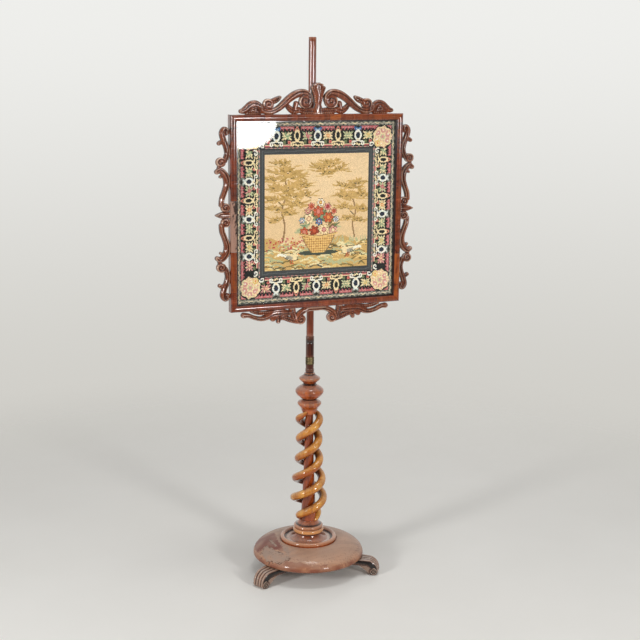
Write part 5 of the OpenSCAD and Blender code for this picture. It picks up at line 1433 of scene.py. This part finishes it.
def carving(strokes, long_half, reach):
    """Corners (along, off, height) and faces of a carving, cut along its outline."""
    grid_u = np.arange(-long_half, long_half + carving_grid, carving_grid)
    grid_v = np.arange(-carving_grid, reach + carving_grid, carving_grid)
    U, V = np.meshgrid(grid_u, grid_v, indexing="ij")
    depth, height = carving_relief(strokes, U, V)
    wood = depth > 0
    corner_id = -np.ones(U.shape, int)
    corner_id[wood] = np.arange(wood.sum())
    points = [np.stack([U[wood], V[wood]], axis=-1)]
    count = int(wood.sum())
    cut_ids = []
    every, all_but_last, all_but_first = slice(None), slice(None, -1), slice(1, None)
    for near, far, step_u, step_v in (((all_but_last, every), (all_but_first, every), 1, 0),
                                      ((every, all_but_last), (every, all_but_first), 0, 1)):
        cut = wood[near] != wood[far]
        d0, d1 = depth[near][cut], depth[far][cut]
        share = np.clip(d0 / (d0 - d1), 0.02, 0.98) * carving_grid
        points.append(np.stack([U[near][cut] + share * step_u, V[near][cut] + share * step_v], axis=-1))
        ids = -np.ones(cut.shape, int)
        ids[cut] = count + np.arange(cut.sum())
        count += int(cut.sum())
        cut_ids.append(ids)
    points = np.concatenate(points)
    heights = carving_relief(strokes, points[:, 0], points[:, 1])[1]
    faces, walls = [], []
    touched = wood[:-1, :-1] | wood[1:, :-1] | wood[1:, 1:] | wood[:-1, 1:]
    for i, j in zip(*np.nonzero(touched)):
        ring = ((i, j), (i + 1, j), (i + 1, j + 1), (i, j + 1))
        between_ids = (cut_ids[0][i, j], cut_ids[1][i + 1, j], cut_ids[0][i, j + 1], cut_ids[1][i, j])
        loop, open_from = [], None
        for number, (a, b) in enumerate(ring):
            if wood[a, b]:
                loop.append(corner_id[a, b])
            if between_ids[number] >= 0:
                loop.append(between_ids[number])
                if wood[a, b]:
                    open_from = between_ids[number]
                elif open_from is not None:
                    walls.append((open_from, between_ids[number]))
                    open_from = None
        if open_from is not None:
            first_in = next(k for k in range(4) if between_ids[k] >= 0 and not wood[ring[k]])
            walls.append((open_from, between_ids[first_in]))
        if len(loop) > 2:
            faces.append(tuple(loop))
    front = np.column_stack([points, heights])
    back = np.column_stack([points, np.zeros(len(points))])
    shift = len(points)
    every_face = faces + [tuple(shift + corner for corner in face[::-1]) for face in faces]
    every_face += [(a, b, shift + b, shift + a) for a, b in walls]
    return np.concatenate([front, back]), every_face


def ridge_marks(strokes, corners):
    """Marks for a carving's ridges, rubbed pale with painted highlights, and its hollows in painted shade,
    from its height beside what is near.
    """
    shifts = [(du, dv) for du in (-3, 0, 3) for dv in (-3, 0, 3)]
    around = np.zeros(len(corners))
    for du, dv in shifts:
        depth, height = carving_relief(strokes, corners[:, 0] + du, corners[:, 1] + dv)
        around += np.where(depth > 0, height, 0.35 * carving_t) / len(shifts)
    rise = corners[:, 2] - around
    front = corners[:, 2] > 0
    # Painted highlights with the rubbing on the ridges, painted shade in the hollows and over the back
    return {"proud": np.clip(rise / 2.6, 0, 1) * front,
            "hollow": np.where(front, np.clip(-rise / 2.2, 0, 1), 0.4)}


carved_wood = wood_finish("carved_wood", "#a85c36", "#843f22", "#4a1e0f", gloss=0.14, coat=1.0, fineness=1.2,
                          grime_and_shade="#170907", dirt=1.0, worn_and_highlight="#c8a58c", wear_and_highlight=0.65, dust_and_sheen="#8f7a72", dust_and_sheen_amount=0.12)
# For each carving: its name, its node, its strokes, half its length and its reach off the frame's edge
carvings = [("carved_crest", "crest_carving", crest_strokes, 216, 80),
            ("carved_apron", "apron_carving", apron_strokes, 214, 50),
            ("carved_side_left", "side_carving_left", side_strokes, 225, 44),
            ("carved_side_right", "side_carving_right", side_strokes, 225, 44)]
for name, node, strokes, long_half, reach in carvings:
    shape, faces = carving(strokes, long_half, reach)
    marks = ridge_marks(strokes, shape)
    along, off, depth = shape[:, 0], shape[:, 1], carving_back - shape[:, 2]
    spread = {"crest_carving": (along, panel_mid + panel_h / 2 + off),
              "apron_carving": (along, panel_mid - panel_h / 2 - off),
              "side_carving_left": (-panel_w / 2 - off, panel_mid + along),
              "side_carving_right": (panel_w / 2 + off, panel_mid + along)}[node]
    piece(name, np.column_stack([spread[0], depth, spread[1]]), faces, carved_wood, "screen",
          [node], marks, crease=60)
dressed("carving_pegs", pine)
